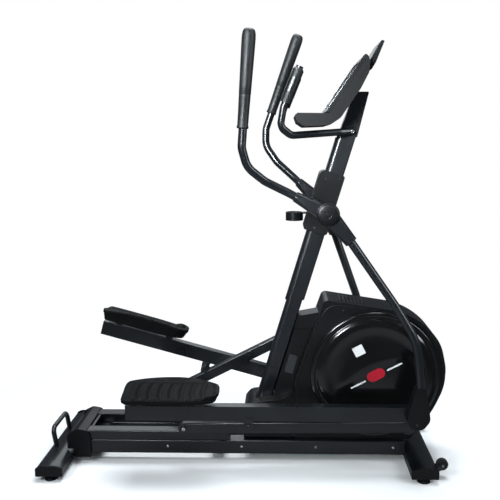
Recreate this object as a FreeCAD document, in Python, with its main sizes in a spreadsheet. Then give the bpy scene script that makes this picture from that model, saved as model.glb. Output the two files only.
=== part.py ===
import FreeCAD, Part
import math
import os
from FreeCAD import Placement, Rotation, Vector

# Front-drive elliptical trainer. X forward, Y to the user's left, Z up, millimetres.
# The origin is at the middle of the base on the floor.

doc = FreeCAD.newDocument("elliptical_trainer")
sheet = doc.addObject("Spreadsheet::Sheet", "sizes")

SIZES = [
    ("crank_x", 543, "crank axis, forward of the origin"),
    ("crank_z", 395, "crank axis height"),
    ("crank_radius", 250, "half of the stride length"),
    ("crank_angle", 33.4, "right crank pin, forward of straight down, at rest"),
    ("link_length", 934, "roller axle to crank pin"),
    ("link_inner_y", 121, "inboard face of the link tube"),
    ("link_width", 38, "link tube width"),
    ("link_height", 46, "link tube height"),
    ("pedal_pin_along", 271.5, "pedal arm pin ahead of the roller axle, along the link"),
    ("pedal_pin_above", 34, "pedal arm pin above the link centreline"),
    ("roller_radius", 32, "rail roller radius"),
    ("roller_width", 32, "rail roller width"),
    ("rail_top_z", 144, "running surface height"),
    ("rail_height", 42, "rail tube height"),
    ("rail_y", 86, "rail and base beam centre, from the middle"),
    ("rail_width", 50, "rail and base beam width"),
    ("rail_rear_x", -728, "rear end of the rails"),
    ("rail_front_x", -66, "front end of the rails"),
    ("beam_bottom_z", 42, "underside of the base beams"),
    ("tube_wall", 3, "wall of the frame tubes"),
    ("stabilizer_width", 107, "front and rear stabilizer width"),
    ("stabilizer_half_length", 275, "half the length of a stabilizer"),
    ("stabilizer_bottom_z", 22, "underside of the stabilizers"),
    ("stabilizer_height", 42, "stabilizer height"),
    ("rear_stabilizer_x", -785, "rear stabilizer centre"),
    ("front_stabilizer_x", 730, "front stabilizer centre"),
    ("foot_radius", 27, "levelling foot pad radius"),
    ("foot_y", 246, "levelling foot from the middle"),
    ("foot_stem_radius", 5, "levelling foot stem radius"),
    ("wheel_radius", 24, "transport wheel radius"),
    ("wheel_width", 22, "transport wheel width"),
    ("wheel_y", 215, "transport wheel from the middle"),
    ("pivot_x", 330, "swing arm axle, forward of the origin"),
    ("pivot_z", 1080, "swing arm axle height"),
    ("pivot_axle_radius", 12, "swing arm axle radius"),
    ("knee_x", 700, "knee pin of the right arm at rest"),
    ("knee_z", 262, "knee pin height of the right arm at rest"),
    ("arm_inner_y", 166, "inboard face of the pedal arm tube"),
    ("arm_width", 38, "pedal arm tube width"),
    ("arm_height", 62, "pedal arm tube height"),
    ("arm_above_pin", 50, "pedal arm centreline above its pin"),
    ("arm_rear", 502, "pedal arm tube behind its pin"),
    ("swing_tube_radius", 17, "lower swing tube radius"),
    ("swing_y", 198, "swing arm tubes at the axle, from the middle"),
    ("knee_y", 226, "swing tube at the knee, from the middle"),
    ("handlebar_radius", 16, "moving handlebar tube radius"),
    ("handlebar_y", 250, "moving handlebar grips, from the middle"),
    ("grip_length", 356, "moving handlebar grip length"),
    ("grip_low_radius", 20.5, "moving grip radius at the bottom"),
    ("grip_high_radius", 26, "moving grip radius at the top"),
    ("fixed_bar_radius", 14, "fixed handlebar tube radius"),
    ("fixed_bar_y", 150, "fixed grips, from the middle"),
    ("fixed_grip_radius", 21.5, "fixed grip radius"),
    ("fixed_grip_length", 130, "fixed grip length"),
    ("pedal_length", 392, "pedal length"),
    ("pedal_width", 166, "pedal width"),
    ("pedal_height", 62, "pedal height at its inner side"),
    ("pedal_outer_height", 19, "pedal height at its outer side"),
    ("pedal_post", 27, "height of the posts under the pedal"),
    ("pedal_wall", 9, "pedal rim thickness"),
    ("pedal_floor", 8, "pedal floor thickness"),
    ("mast_slope", 0.3, "mast lean, forward per unit of height"),
    ("mast_joint_z", 696, "height where the upper mast meets the lower"),
    ("mast_top_z", 1372, "top of the upper mast tube"),
    ("mast_depth", 77, "upper mast depth, square to its axis"),
    ("mast_lower_depth", 64, "lower mast depth, square to its axis"),
    ("mast_width", 56, "mast width"),
    ("housing_half_width", 88, "housing half width"),
    ("housing_wall", 3, "housing wall"),
    ("disc_radius", 270, "crank disc radius"),
    ("disc_inner_y", 92, "inboard face of the crank disc"),
    ("disc_thickness", 24, "crank disc thickness"),
    ("shaft_radius", 12.5, "crank shaft radius"),
    ("pulley_radius", 125, "drive pulley radius"),
    ("pulley_y", -24, "near face of the drive pulley"),
    ("pulley_width", 18, "drive pulley width"),
    ("flywheel_x", 690, "flywheel axis, forward of the origin"),
    ("flywheel_z", 332, "flywheel axis height"),
    ("flywheel_radius", 112, "flywheel radius"),
    ("flywheel_width", 30, "flywheel width"),
    ("flywheel_y", 18, "near face of the flywheel"),
    ("small_pulley_radius", 22, "flywheel pulley radius"),
    ("belt_thickness", 4, "drive belt thickness"),
    ("idler_radius", 16, "belt idler radius"),
    ("console_half_width", 168, "console half width"),
    ("running_gap", 0.05, "radial gap of a running fit"),
    ("face_gap", 0.4, "gap between faces that move past each other"),
]
for row, (alias, number, note) in enumerate(SIZES, start=1):
    sheet.set("A%d" % row, alias)
    sheet.set("B%d" % row, str(number))
    sheet.set("C%d" % row, note)
    sheet.setAlias("B%d" % row, alias)
doc.recompute()


def size(alias):
    return float(sheet.get(alias))


NODES = {}


def keep(item, name):
    """Registers a finished sub-part under the name of its node."""
    item.Label = name
    NODES[name] = item
    return item


def bind(item, **cells):
    """Binds properties of a primitive to cells of the sheet."""
    for prop, expression in cells.items():
        item.setExpression(prop, expression)
    return item


def feature(name, shape, placement=None):
    """A sub-part whose shape is made with Part's own functions."""
    item = doc.addObject("Part::Feature", name)
    item.Shape = shape
    item.Placement = placement or Placement()
    return keep(item, name)


# ---------------------------------------------------------------- shape helpers

def along_y(point, y0, y1, radius):
    """A solid cylinder parallel to Y, from y0 to y1."""
    return Part.makeCylinder(radius, abs(y1 - y0), Vector(point[0], min(y0, y1), point[1]),
                             Vector(0, 1, 0))


def ring_y(point, y0, y1, outer, inner):
    """A tube parallel to Y."""
    return along_y(point, y0, y1, outer).cut(along_y(point, min(y0, y1) - 1, max(y0, y1) + 1, inner))


def rod(start, end, radius):
    """A solid cylinder from one point to another."""
    start, end = Vector(*start), Vector(*end)
    return Part.makeCylinder(radius, (end - start).Length, start, end - start)


def block(x0, x1, y0, y1, z0, z1):
    return Part.makeBox(x1 - x0, y1 - y0, z1 - z0, Vector(x0, y0, z0))


def rounded_wire(points, radii, closed):
    """Straight runs joined by tangent arcs; radii is one number or one per point."""
    points = [Vector(*p) for p in points]
    count = len(points)
    if not isinstance(radii, (list, tuple)):
        radii = [radii] * count
    edges = []
    last = None
    first = None
    order = range(count) if closed else range(1, count - 1)
    if not closed:
        last = points[0]
    for i in order:
        before, here, after = points[i - 1], points[i], points[(i + 1) % count]
        back = (before - here).normalize()
        ahead = (after - here).normalize()
        half = back.getAngle(ahead) / 2
        radius = radii[i]
        if radius <= 0 or half > math.pi / 2 - 0.002:
            entry, leave = here, here
        else:
            reach = radius / math.tan(half)
            entry = here + back * reach
            leave = here + ahead * reach
            centre = here + (back + ahead).normalize() * (radius / math.sin(half))
            middle = centre + (here - centre).normalize() * radius
        if last is not None and (entry - last).Length > 1e-6:
            edges.append(Part.LineSegment(last, entry).toShape())
        if (entry - leave).Length > 1e-6:
            edges.append(Part.Arc(entry, middle, leave).toShape())
        if first is None:
            first = entry
        last = leave
    if closed:
        if (last - first).Length > 1e-6:
            edges.append(Part.LineSegment(last, first).toShape())
    else:
        edges.append(Part.LineSegment(last, points[-1]).toShape())
    return Part.Wire(edges)


def plate(outline, radii, y0, y1):
    """An outline of (x, z) points, with rounded corners, extruded from y0 to y1."""
    wire = rounded_wire([(x, y0, z) for x, z in outline], radii, True)
    return Part.Face(wire).extrude(Vector(0, y1 - y0, 0))


def swept(points, radii, profile):
    """A solid swept along runs and tangent arcs; profile(start, direction) gives its section."""
    path = rounded_wire(points, radii, False)
    start = Vector(*points[0])
    direction = (Vector(*points[1]) - start).normalize()
    solid = path.makePipeShell([profile(start, direction)], True, False)
    return solid


def round_bar(points, radii, radius):
    def circle(start, direction):
        return Part.Wire(Part.Circle(start, direction, radius).toShape())
    return swept(points, radii, circle)


def rect_tube(length, width, height, corner, wall):
    """A rounded rectangular tube along +X from the origin, centred on Y and Z."""
    def bar(w, t, c):
        wire = rounded_wire([(0, -w / 2, -t / 2), (0, w / 2, -t / 2), (0, w / 2, t / 2),
                             (0, -w / 2, t / 2)], c, True)
        return Part.Face(wire).extrude(Vector(length, 0, 0))
    outer = bar(width, height, corner)
    return outer.cut(bar(width - 2 * wall, height - 2 * wall, max(corner - wall, 0.5)))


def mirrored(shape):
    return shape.mirror(Vector(0, 0, 0), Vector(0, 1, 0))


def fused(shapes):
    result = shapes[0].multiFuse(shapes[1:])
    return result.removeSplitter()


# ---------------------------------------------------------------- linkage at rest

def turned(vector, degrees):
    """Turns an (x, z) vector counterclockwise as seen from the right."""
    a = math.radians(degrees)
    return (vector[0] * math.cos(a) - vector[1] * math.sin(a),
            vector[0] * math.sin(a) + vector[1] * math.cos(a))


def direction_of(start, end):
    return math.degrees(math.atan2(end[1] - start[1], end[0] - start[0]))


CRANK = (size("crank_x"), size("crank_z"))
PIVOT = (size("pivot_x"), size("pivot_z"))
KNEE = (size("knee_x"), size("knee_z"))
AXLE_Z = size("rail_top_z") + size("roller_radius") + size("face_gap")


def crank_pin(angle):
    a = math.radians(angle)
    return (CRANK[0] + size("crank_radius") * math.sin(a),
            CRANK[1] - size("crank_radius") * math.cos(a))


def roller_axle(pin):
    run = math.sqrt(size("link_length") ** 2 - (pin[1] - AXLE_Z) ** 2)
    return (pin[0] - run, AXLE_Z)


def arm_pin(roller, pin):
    along = turned((size("pedal_pin_along"), size("pedal_pin_above")), direction_of(roller, pin))
    return (roller[0] + along[0], roller[1] + along[1])


PIN_R = crank_pin(size("crank_angle"))
PIN_L = crank_pin(size("crank_angle") + 180)
ROLLER_R = roller_axle(PIN_R)
ROLLER_L = roller_axle(PIN_L)
ARM_PIN_R = arm_pin(ROLLER_R, PIN_R)
ARM_PIN_L = arm_pin(ROLLER_L, PIN_L)


def left_knee():
    """The left knee: as far from the axle and from the pedal arm pin as the right one."""
    swing = math.dist(KNEE, PIVOT)
    reach = math.dist(KNEE, ARM_PIN_R)
    base = math.dist(PIVOT, ARM_PIN_L)
    along = (reach ** 2 - swing ** 2 + base ** 2) / (2 * base)
    across = math.sqrt(reach ** 2 - along ** 2)
    ex = (PIVOT[0] - ARM_PIN_L[0]) / base
    ez = (PIVOT[1] - ARM_PIN_L[1]) / base
    return (ARM_PIN_L[0] + along * ex + across * ez, ARM_PIN_L[1] + along * ez - across * ex)


KNEE_L = left_knee()
LINK_TURN = direction_of(ROLLER_L, PIN_L) - direction_of(ROLLER_R, PIN_R)
ARM_TURN = direction_of(ARM_PIN_L, KNEE_L) - direction_of(ARM_PIN_R, KNEE)
SWING_TURN = direction_of(PIVOT, KNEE_L) - direction_of(PIVOT, KNEE)


def moved(turn, origin, target):
    """Placement that turns a piece about origin, in the XZ plane, and carries it to target."""
    rotation = Rotation(Vector(0, 1, 0), -turn)
    placement = Placement(Vector(0, 0, 0), rotation)
    placement.Base = Vector(target[0], 0, target[1]) - rotation.multVec(Vector(origin[0], 0, origin[1]))
    return placement


LEFT_POSE = {"link": moved(LINK_TURN, ROLLER_R, ROLLER_L),
             "arm": moved(ARM_TURN, ARM_PIN_R, ARM_PIN_L), "swing": moved(SWING_TURN, PIVOT, PIVOT),
             "crank": moved(180, CRANK, CRANK), }


def both_sides(name, group, right_shape):
    """The same piece on both sides, each in its own rest pose."""
    feature("right_" + name, right_shape)
    feature("left_" + name, mirrored(right_shape), LEFT_POSE[group])


# ---------------------------------------------------------------- base frame

WALL = size("tube_wall")
BEAM_BOTTOM = size("beam_bottom_z")
BEAM_TOP = size("rail_top_z") - size("rail_height")
REAR_STAB = (size("rear_stabilizer_x") - size("stabilizer_width") / 2,
             size("rear_stabilizer_x") + size("stabilizer_width") / 2)
FRONT_STAB = (size("front_stabilizer_x") - size("stabilizer_width") / 2,
              size("front_stabilizer_x") + size("stabilizer_width") / 2)
STAB_TOP = size("stabilizer_bottom_z") + size("stabilizer_height")
BEAM_X = (REAR_STAB[1], FRONT_STAB[0])


def beam_tube(x0, x1, y, z0, z1):
    tube = rect_tube(x1 - x0, size("rail_width"), z1 - z0, 5, WALL)
    tube.translate(Vector(x0, y, (z0 + z1) / 2))
    return tube


def base_frame():
    """Two long beams joined by cross members, with the mast foot between them."""
    y = size("rail_y")
    inner = y - size("rail_width") / 2
    parts = [beam_tube(BEAM_X[0], BEAM_X[1], side * y, BEAM_BOTTOM, BEAM_TOP) for side in (-1, 1)]
    for x in (BEAM_X[0] + 60, -150, 8, 500):
        parts.append(block(x, x + 60, -inner, inner, BEAM_BOTTOM + 8, BEAM_TOP))
    return fused(parts)


RAIL_Z = (BEAM_TOP, size("rail_top_z"))
def cross_plate():
    """Plate between the rail ends, with a hand slot."""
    y = size("rail_y") - size("rail_width") / 2
    top = size("rail_top_z")
    x0 = size("rail_rear_x") + 6
    body = block(x0, x0 + 62, -y, y, top - 12, top - 6)
    slot = rounded_wire([(x0 + 20, -32, top - 13), (x0 + 42, -32, top - 13), (x0 + 42, 32, top - 13),
                          (x0 + 20, 32, top - 13)], 10.5, True)
    return body.cut(Part.Face(slot).extrude(Vector(0, 0, 8)))


rails = [beam_tube(size("rail_rear_x"), size("rail_front_x"), side * size("rail_y"),
                   *RAIL_Z) for side in (-1, 1)]
feature("roller_rails", fused(rails + [cross_plate()]))


def stabilizer(x0, x1):
    """A wide tube with a domed top, open at its ends."""
    low = size("stabilizer_bottom_z")
    half = size("stabilizer_half_length") - 7
    middle = (x0 + x1) / 2

    def section(inset):
        a, b, c, d = x0 + inset, x1 - inset, low + inset, STAB_TOP - inset
        dome = d - 12
        edges = [Part.LineSegment(Vector(a, -half, c), Vector(b, -half, c)).toShape(),
                 Part.LineSegment(Vector(b, -half, c), Vector(b, -half, dome)).toShape(),
                 Part.Arc(Vector(b, -half, dome), Vector(middle, -half, d),
                          Vector(a, -half, dome)).toShape(),
                 Part.LineSegment(Vector(a, -half, dome), Vector(a, -half, c)).toShape()]
        return Part.Face(Part.Wire(edges)).extrude(Vector(0, 2 * half, 0))
    return section(0).cut(section(WALL))


def stabilizer_caps(x0, x1):
    """Plastic end caps of one stabilizer."""
    low = size("stabilizer_bottom_z") - 1
    half = size("stabilizer_half_length")
    outline = [(x0 - 1.5, low), (x1 + 1.5, low), (x1 + 1.5, STAB_TOP - 8), (x1 - 22, STAB_TOP + 2),
               (x0 + 22, STAB_TOP + 2), (x0 - 1.5, STAB_TOP - 8)]
    cap = plate(outline, [4, 4, 9, 30, 30, 9], -half, -half + 7)
    return [cap, mirrored(cap)]


feature("stabilizer_end_caps",
        Part.makeCompound(stabilizer_caps(*REAR_STAB) + stabilizer_caps(*FRONT_STAB)))


def levelling_feet():
    """Four rubber-faced pads on threaded stems, under the ends of the stabilizers."""
    low = size("stabilizer_bottom_z")
    feet = []
    for x in (size("rear_stabilizer_x"), size("front_stabilizer_x")):
        for y in (-size("foot_y"), size("foot_y")):
            pad = Part.makeCone(size("foot_radius"), size("foot_radius") * 0.62, low * 0.7,
                                Vector(x, y, 0))
            stem = Part.makeCylinder(size("foot_stem_radius"), low, Vector(x, y, 0))
            feet.append(fused([pad, stem]))
    return Part.makeCompound(feet)


feature("levelling_feet", levelling_feet())


def wheel_x():
    return FRONT_STAB[1] + size("wheel_radius") + 1.5


WHEEL_CENTRE = (wheel_x(), STAB_TOP - 6)


def wheel_brackets():
    """A pair of ears at each end of the front stabilizer."""
    ears = []
    for side in (-1, 1):
        for offset in (-1, 1):
            y = side * size("wheel_y") + offset * (size("wheel_width") / 2 + 4)
            outline = [(FRONT_STAB[1], size("stabilizer_bottom_z") + 4),
                       (WHEEL_CENTRE[0] + 9, WHEEL_CENTRE[1] - 10),
                       (WHEEL_CENTRE[0] + 9, WHEEL_CENTRE[1] + 10), (FRONT_STAB[1], STAB_TOP - 13)]
            ear = plate(outline, [0, 8, 8, 0], y - 2, y + 2)
            ears.append(ear.cut(along_y(WHEEL_CENTRE, y - 3, y + 3, 4)))
    return ears


feature("rear_stabilizer", stabilizer(*REAR_STAB))
feature("front_stabilizer", fused([stabilizer(*FRONT_STAB)] + wheel_brackets()))
for side_name, side in (("right", -1), ("left", 1)):
    middle = side * size("wheel_y")
    half = size("wheel_width") / 2
    wheel = ring_y(WHEEL_CENTRE, middle - half, middle + half, size("wheel_radius"),
                   4 + size("running_gap"))
    groove = ring_y(WHEEL_CENTRE, middle - 3, middle + 3, size("wheel_radius") + 1,
                    size("wheel_radius") - 2)
    feature(side_name + "_transport_wheel", wheel.cut(groove))
pins = [along_y(WHEEL_CENTRE, s * size("wheel_y") - size("wheel_width") / 2 - 8,
                s * size("wheel_y") + size("wheel_width") / 2 + 8, 4) for s in (-1, 1)]
feature("transport_wheel_pins", Part.makeCompound(pins))


def lift_handle():
    """Bent rod at the rear, for tipping the machine onto its wheels."""
    x = REAR_STAB[0] + 11
    points = [(x + 12, -86, STAB_TOP - 8), (x, -86, 140), (x, 86, 140), (x + 12, 86, STAB_TOP - 8)]
    return round_bar(points, 26, 10)


def rear_cover():
    """Plastic saddle over the rear ends of the rails, open underneath."""
    side = size("rail_y") + size("rail_width") / 2 + 3
    outer = plate([(-757, BEAM_BOTTOM - 14), (-757, 118), (-744, 138), (-712, 154), (-672, 146),
                   (-658, 118), (-658, BEAM_BOTTOM - 14)], [3, 16, 14, 30, 16, 10, 3], -side - 6, side + 6)
    inner = plate([(-753, BEAM_BOTTOM - 20), (-753, 117), (-741, 134), (-712, 149.5), (-674, 142),
                   (-662, 117), (-662, BEAM_BOTTOM - 20)], [1, 12, 10, 26, 12, 6, 1], -side - 3, side + 3)
    shell = outer.cut(inner)
    slot = block(-800, -600, 2 - side, side - 2, 0, size("rail_top_z") + 1)
    above_stabilizer = block(size("rear_stabilizer_x") - 15, REAR_STAB[1] + 1.5,
                             -side - 16, side + 16, 0, STAB_TOP + 0.5)
    return shell.cut([slot, above_stabilizer])


feature("lift_handle", lift_handle())
feature("rear_cover", rear_cover())

# ---------------------------------------------------------------- mast

LEAN = math.degrees(math.atan(size("mast_slope")))
MAST_FOOT_X = size("pivot_x") - 7 - (size("pivot_z") - BEAM_TOP) * size("mast_slope")


def on_mast(z, ahead=0.0):
    """Point (x, z) on the mast centreline, moved ahead square to it."""
    a = math.radians(LEAN)
    x = MAST_FOOT_X + (z - BEAM_TOP) * size("mast_slope")
    return (x + ahead * math.cos(a), z - ahead * math.sin(a))


def mast_tube(z0, z1, depth, rear_corner):
    """Leaning tube with a softly rounded rear, cut level at its ends."""
    cos = math.cos(math.radians(LEAN))
    half = depth / cos / 2

    def bar(inset, extra):
        wire = rounded_wire([(-half + inset, -size("mast_width") / 2 + inset, 0),
                             (half - inset, -size("mast_width") / 2 + inset, 0),
                             (half - inset, size("mast_width") / 2 - inset, 0),
                             (-half + inset, size("mast_width") / 2 - inset, 0)],
                            [rear_corner - inset, 6 - inset, 6 - inset, rear_corner - inset], True)
        base = on_mast(z0 - extra)
        wire.translate(Vector(base[0], 0, base[1]))
        top = on_mast(z1 + extra)
        return Part.Face(wire).extrude(Vector(top[0] - base[0], 0, top[1] - base[1]))
    return bar(0, 0).cut(bar(WALL, 2))


def mast_lower():
    tube = mast_tube(BEAM_TOP, size("mast_joint_z"), size("mast_lower_depth"), 20)
    foot_low = on_mast(BEAM_TOP)
    return tube.fuse(block(foot_low[0] - 42, foot_low[0] + 46, -50, 50, BEAM_TOP,
                           BEAM_TOP + 6)).removeSplitter()


PIVOT_BORE = along_y(PIVOT, -60, 60, size("pivot_axle_radius"))
feature("mast_lower", mast_lower())


FAIRING_HALF = 43
INLET_Y = (34, 66)
INLET_Z = (130, 156)
FOOT_REAR_X = -8


def foot_cover_outline(inset):
    """Side outline of the mast foot cover, which runs on from the housing's side."""
    front = 205.4 - inset
    return [(FOOT_REAR_X + inset, BEAM_TOP), (FOOT_REAR_X + inset, 226 - inset),
            (16 + inset, 258 - inset), (170, 282 - inset), (front, 318 - inset), (front, BEAM_TOP)]


def fairing_side(y0, y1):
    """Side of the fairing that closes the gap between the mast and the housing."""
    front = size("mast_lower_depth") / 2 + 1.5
    low, high = on_mast(262, front), on_mast(583, front)
    outline = [low, high, (280, 573), (205.4, 354), (205.4, 262)]
    return plate(outline, 0, y0, y1)


def mast_foot_cover():
    """Moulded cover round the mast foot, open along the mast, with a fairing in front of the mast."""
    half = size("housing_half_width")
    outer = plate(foot_cover_outline(0), [4, 30, 40, 60, 4, 2], -half, half)
    inner = plate(foot_cover_outline(3), [1, 27, 37, 57, 2, 1], 3 - half, half - 3)
    hole_low, hole_high = on_mast(BEAM_TOP - 20), on_mast(320)
    reach = size("mast_lower_depth") / 2 / math.cos(math.radians(LEAN)) + 1
    opening = plate([(hole_low[0] - reach, hole_low[1]), (hole_high[0] - reach, hole_high[1]),
                     (hole_high[0] + reach, hole_high[1]), (hole_low[0] + reach, hole_low[1])], 0,
                    -29, 29)
    skirt = block(FOOT_REAR_X - 20, 230, -half - 2, half + 2, BEAM_TOP - 20, BEAM_TOP + 6.5)
    gap = 0.3
    inlet_window = block(FOOT_REAR_X - 5, FOOT_REAR_X + 6, INLET_Y[0] - gap, INLET_Y[1] + gap,
                         INLET_Z[0] - gap, INLET_Z[1] + gap)
    cover = outer.cut(inner).cut(opening).cut([skirt, inlet_window])
    return fused([cover, fairing_side(FAIRING_HALF - 3, FAIRING_HALF),
                  fairing_side(-FAIRING_HALF, 3 - FAIRING_HALF)])


feature("mast_foot_cover", mast_foot_cover())


def mast_shroud():
    """Plastic shroud round the mast at the swing arm axle, closed round the tube above and below."""
    a, b = on_mast(985), on_mast(1228)
    rear, front = 58, 44
    half = size("mast_width") / 2 + 20

    def outline(inset):
        low, high = a[1] + inset, b[1] - inset
        return [on_mast(low, -rear + inset), on_mast(high, -rear + inset),
                on_mast(high, front - inset), on_mast(low, front - inset)]
    outer = plate(outline(0), [12, 20, 10, 12], -half, half)
    inner = plate(outline(3), [9, 17, 7, 9], -half + 3, half - 3)
    reach = size("mast_depth") / 2 + 0.6
    core = plate([on_mast(900, -reach), on_mast(1320, -reach), on_mast(1320, reach),
                  on_mast(900, reach)], 0, -size("mast_width") / 2 - 0.6,
                 size("mast_width") / 2 + 0.6)
    return outer.cut(inner).cut(core).cut(along_y(PIVOT, -half - 1, half + 1, HUB_INNER + 6))


HUB_INNER = 20
HUB_Y = (size("mast_width") / 2 + 26, size("swing_y") + size("swing_tube_radius") + 1)
feature("mast_shroud", mast_shroud())


def holder_arm():
    """Bottle holder: a cup on a bracket at the rear of the shroud."""
    low, high = 1034, 1066
    centre_x = on_mast(low, -58)[0] - 48.6
    outer_radius, inner_radius = 36, 33
    ring = Part.makeCylinder(outer_radius, high - low, Vector(centre_x, 0, low))
    ring = ring.cut(Part.makeCylinder(inner_radius, high, Vector(centre_x, 0, low - 1)))
    floor = Part.makeCylinder(36, 4, Vector(centre_x, 0, low - 2))
    front = block(centre_x + 32, centre_x + 36, -16, 16, low, high)
    shelf = block(centre_x + 33, centre_x + 70, -16, 16, high - 6, high)
    a, b = on_mast(900, -58), on_mast(1300, -58)
    shroud_side = plate([a, b, (b[0] + 200, b[1]), (a[0] + 200, a[1])], 0, -60, 60)
    return fused([ring, floor, front, shelf.cut(shroud_side)])


feature("bottle_holder", holder_arm())


def axle():
    """Through axle of both swing arms, with a shoulder each side of the mast."""
    shaft = along_y(PIVOT, -HUB_Y[1] - 2, HUB_Y[1] + 2, size("pivot_axle_radius"))
    collars = [ring_y(PIVOT, s * (size("mast_width") / 2), s * (HUB_Y[0] - size("face_gap")), 19,
                      size("pivot_axle_radius")) for s in (-1, 1)]
    return fused([shaft] + collars)


feature("pivot_axle", axle())


# ---------------------------------------------------------------- housing and drive

HALF = size("housing_half_width")
FLYWHEEL = (size("flywheel_x"), size("flywheel_z"))


def housing_outline(inset):
    """Side outline of the drive housing, as (x, z) points round its edge."""
    base = BEAM_TOP + 1
    points = [(206, 352), (329, 712), (612, 668), (668, 655), (760, 600), (818, 522), (840.3, 422),
              (838, 338), (792, 232), (700, base), (206, base)]
    if inset == 0:
        return points
    middle = (540, 380)
    moved_points = []
    for x, z in points:
        span = math.dist((x, z), middle)
        share = 1 - inset * 1.25 / span
        moved_points.append((middle[0] + (x - middle[0]) * share, middle[1] + (z - middle[1]) * share))
    return moved_points


HOUSING_CORNERS = [26, 22, 200, 290, 280, 175, 180, 230, 380, 14, 14]


def housing_half():
    """Right half of the drive housing: a shell open at the middle."""
    wall = size("housing_wall")
    outer = plate(housing_outline(0), HOUSING_CORNERS, -HALF, -0.1)
    inner = plate(housing_outline(wall), [max(c - wall, 8) for c in HOUSING_CORNERS], -HALF + wall, 1)
    shell = outer.cut(inner)
    return shell.cut(along_y(CRANK, -HALF - 1, -HALF + wall + 1, 34))



def housing_bridge():
    """Short moulded bridge from the housing to the mast."""
    front = size("mast_lower_depth") / 2 + 0.5
    low, high = on_mast(585, front), on_mast(640, front)
    outline = [low, high, (high[0] + 110, 652), (low[0] + 110, 575)]
    bridge = plate(outline, [2, 2, 4, 4], -FAIRING_HALF, -0.1)
    return bridge.cut(plate(housing_outline(0), HOUSING_CORNERS, -HALF, HALF))


FRAME_SLOT = block(CRANK[0] - 77, FLYWHEEL[0] - 14, -67, 1, BEAM_TOP - 1, BEAM_TOP + 6)
RIGHT_HALF = fused([housing_half(), housing_bridge()]).cut(FRAME_SLOT)
feature("right_housing", RIGHT_HALF)
feature("left_housing", mirrored(RIGHT_HALF))


def drive_frame():
    """Two steel plates inside the housing that carry the crank and flywheel bearings."""
    flywheel = (size("flywheel_x"), size("flywheel_z"))
    plates = []
    for side in (-1, 1):
        y0, y1 = sorted((side * 60, side * 66))
        outline = [(CRANK[0] - 70, BEAM_TOP - 6), (CRANK[0] - 40, CRANK[1] + 44),
                   (CRANK[0] + 40, CRANK[1] + 44), (flywheel[0] + 40, flywheel[1] + 20),
                   (flywheel[0] + 40, flywheel[1] - 40), (CRANK[0] + 120, BEAM_TOP - 6)]
        sheet_plate = plate(outline, [4, 34, 34, 34, 34, 4], y0, y1)
        sheet_plate = sheet_plate.cut(along_y(CRANK, y0 - 1, y1 + 1, 24)).cut(along_y(flywheel,
                y0 - 1, y1 + 1, 8))
        plates.append(sheet_plate)
    spacer = block(CRANK[0] - 60, CRANK[0] - 48, -60, 60, BEAM_TOP - 4, BEAM_TOP + 25)
    return fused(plates + [spacer])


bearing_rings = [ring_y(CRANK, s * 60, s * 66, 24,
                        size("shaft_radius") + size("running_gap")) for s in (-1, 1)]
feature("crank_bearings", Part.makeCompound(bearing_rings))

DISC_Y = (size("disc_inner_y"), size("disc_inner_y") + size("disc_thickness"))
shaft = doc.addObject("Part::Cylinder", "crank_shaft")
bind(shaft, Radius="sizes.shaft_radius", Height="2 * (sizes.disc_inner_y + 10)")
shaft.Placement = Placement(Vector(CRANK[0], -DISC_Y[0] - 10, CRANK[1]), Rotation(Vector(1, 0, 0), -90))
keep(shaft, "crank_shaft")


def crank_disc():
    """Right crank disc: a dished cover on a hub, with a flat steel arm behind it to the crank pin boss."""
    r = size("disc_radius")
    back, face = -DISC_Y[0], -DISC_Y[1]
    step = r - 78
    profile = [(0, face), (step, face), (step + 8, face + 4), (r - 8, face + 10), (r, face + 16),
               (r, back), (r - 4, back), (r - 4, face + 18), (r - 12, face + 14),
               (step + 6, face + 8), (step - 2, face + 4), (44, face + 4), (44, back), (0, back)]
    wire = Part.makePolygon([Vector(CRANK[0] + x, y, CRANK[1]) for x, y in profile + [profile[0]]])
    cover = Part.Face(wire).revolve(Vector(CRANK[0], 0, CRANK[1]), Vector(0, 1, 0), 360)
    toward = turned((0, 1), direction_of(CRANK, PIN_R))
    arm = plate([(CRANK[0] + toward[0] * 36, CRANK[1] + toward[1] * 36),
                 (CRANK[0] - toward[0] * 36, CRANK[1] - toward[1] * 36),
                 (PIN_R[0] - toward[0] * 14, PIN_R[1] - toward[1] * 14),
                 (PIN_R[0] + toward[0] * 14, PIN_R[1] + toward[1] * 14)], 0, back - 9, back - 1)
    boss = along_y(PIN_R, -size("link_inner_y") + 2.5, back - 1, 17)
    solid = cover.multiFuse([arm, boss])
    return solid.cut(along_y(CRANK, back - 10, back + 5, size("shaft_radius")))


both_sides("crank_disc", "crank", crank_disc())

PULLEY_Y = (size("pulley_y"), size("pulley_y") + size("pulley_width"))


def drive_pulley():
    rim = ring_y(CRANK, *PULLEY_Y, size("pulley_radius"), size("pulley_radius") - 12)
    web = ring_y(CRANK, PULLEY_Y[0] + 6, PULLEY_Y[1] - 6, size("pulley_radius") - 11, 20)
    hub = ring_y(CRANK, PULLEY_Y[0] - 6, PULLEY_Y[1] + 6, 26, size("shaft_radius"))
    windows = []
    for i in range(5):
        a = math.radians(72 * i + 20)
        centre = (CRANK[0] + 68 * math.cos(a), CRANK[1] + 68 * math.sin(a))
        windows.append(along_y(centre, PULLEY_Y[0], PULLEY_Y[1], 22))
    return fused([rim, web.cut(windows), hub])


feature("drive_pulley", drive_pulley())


def flywheel():
    y0, y1 = size("flywheel_y"), size("flywheel_y") + size("flywheel_width")
    wheel = along_y(FLYWHEEL, y0, y1, size("flywheel_radius"))
    for side in (y0, y1):
        wheel = wheel.cut(ring_y(FLYWHEEL, side - 6, side + 6, size("flywheel_radius") - 22, 30))
    shaft_part = along_y(FLYWHEEL, -66, 66, 8 - size("running_gap"))
    small = along_y(FLYWHEEL, PULLEY_Y[0], y0, size("small_pulley_radius"))
    return fused([wheel, shaft_part, small])


feature("flywheel", flywheel())


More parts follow.
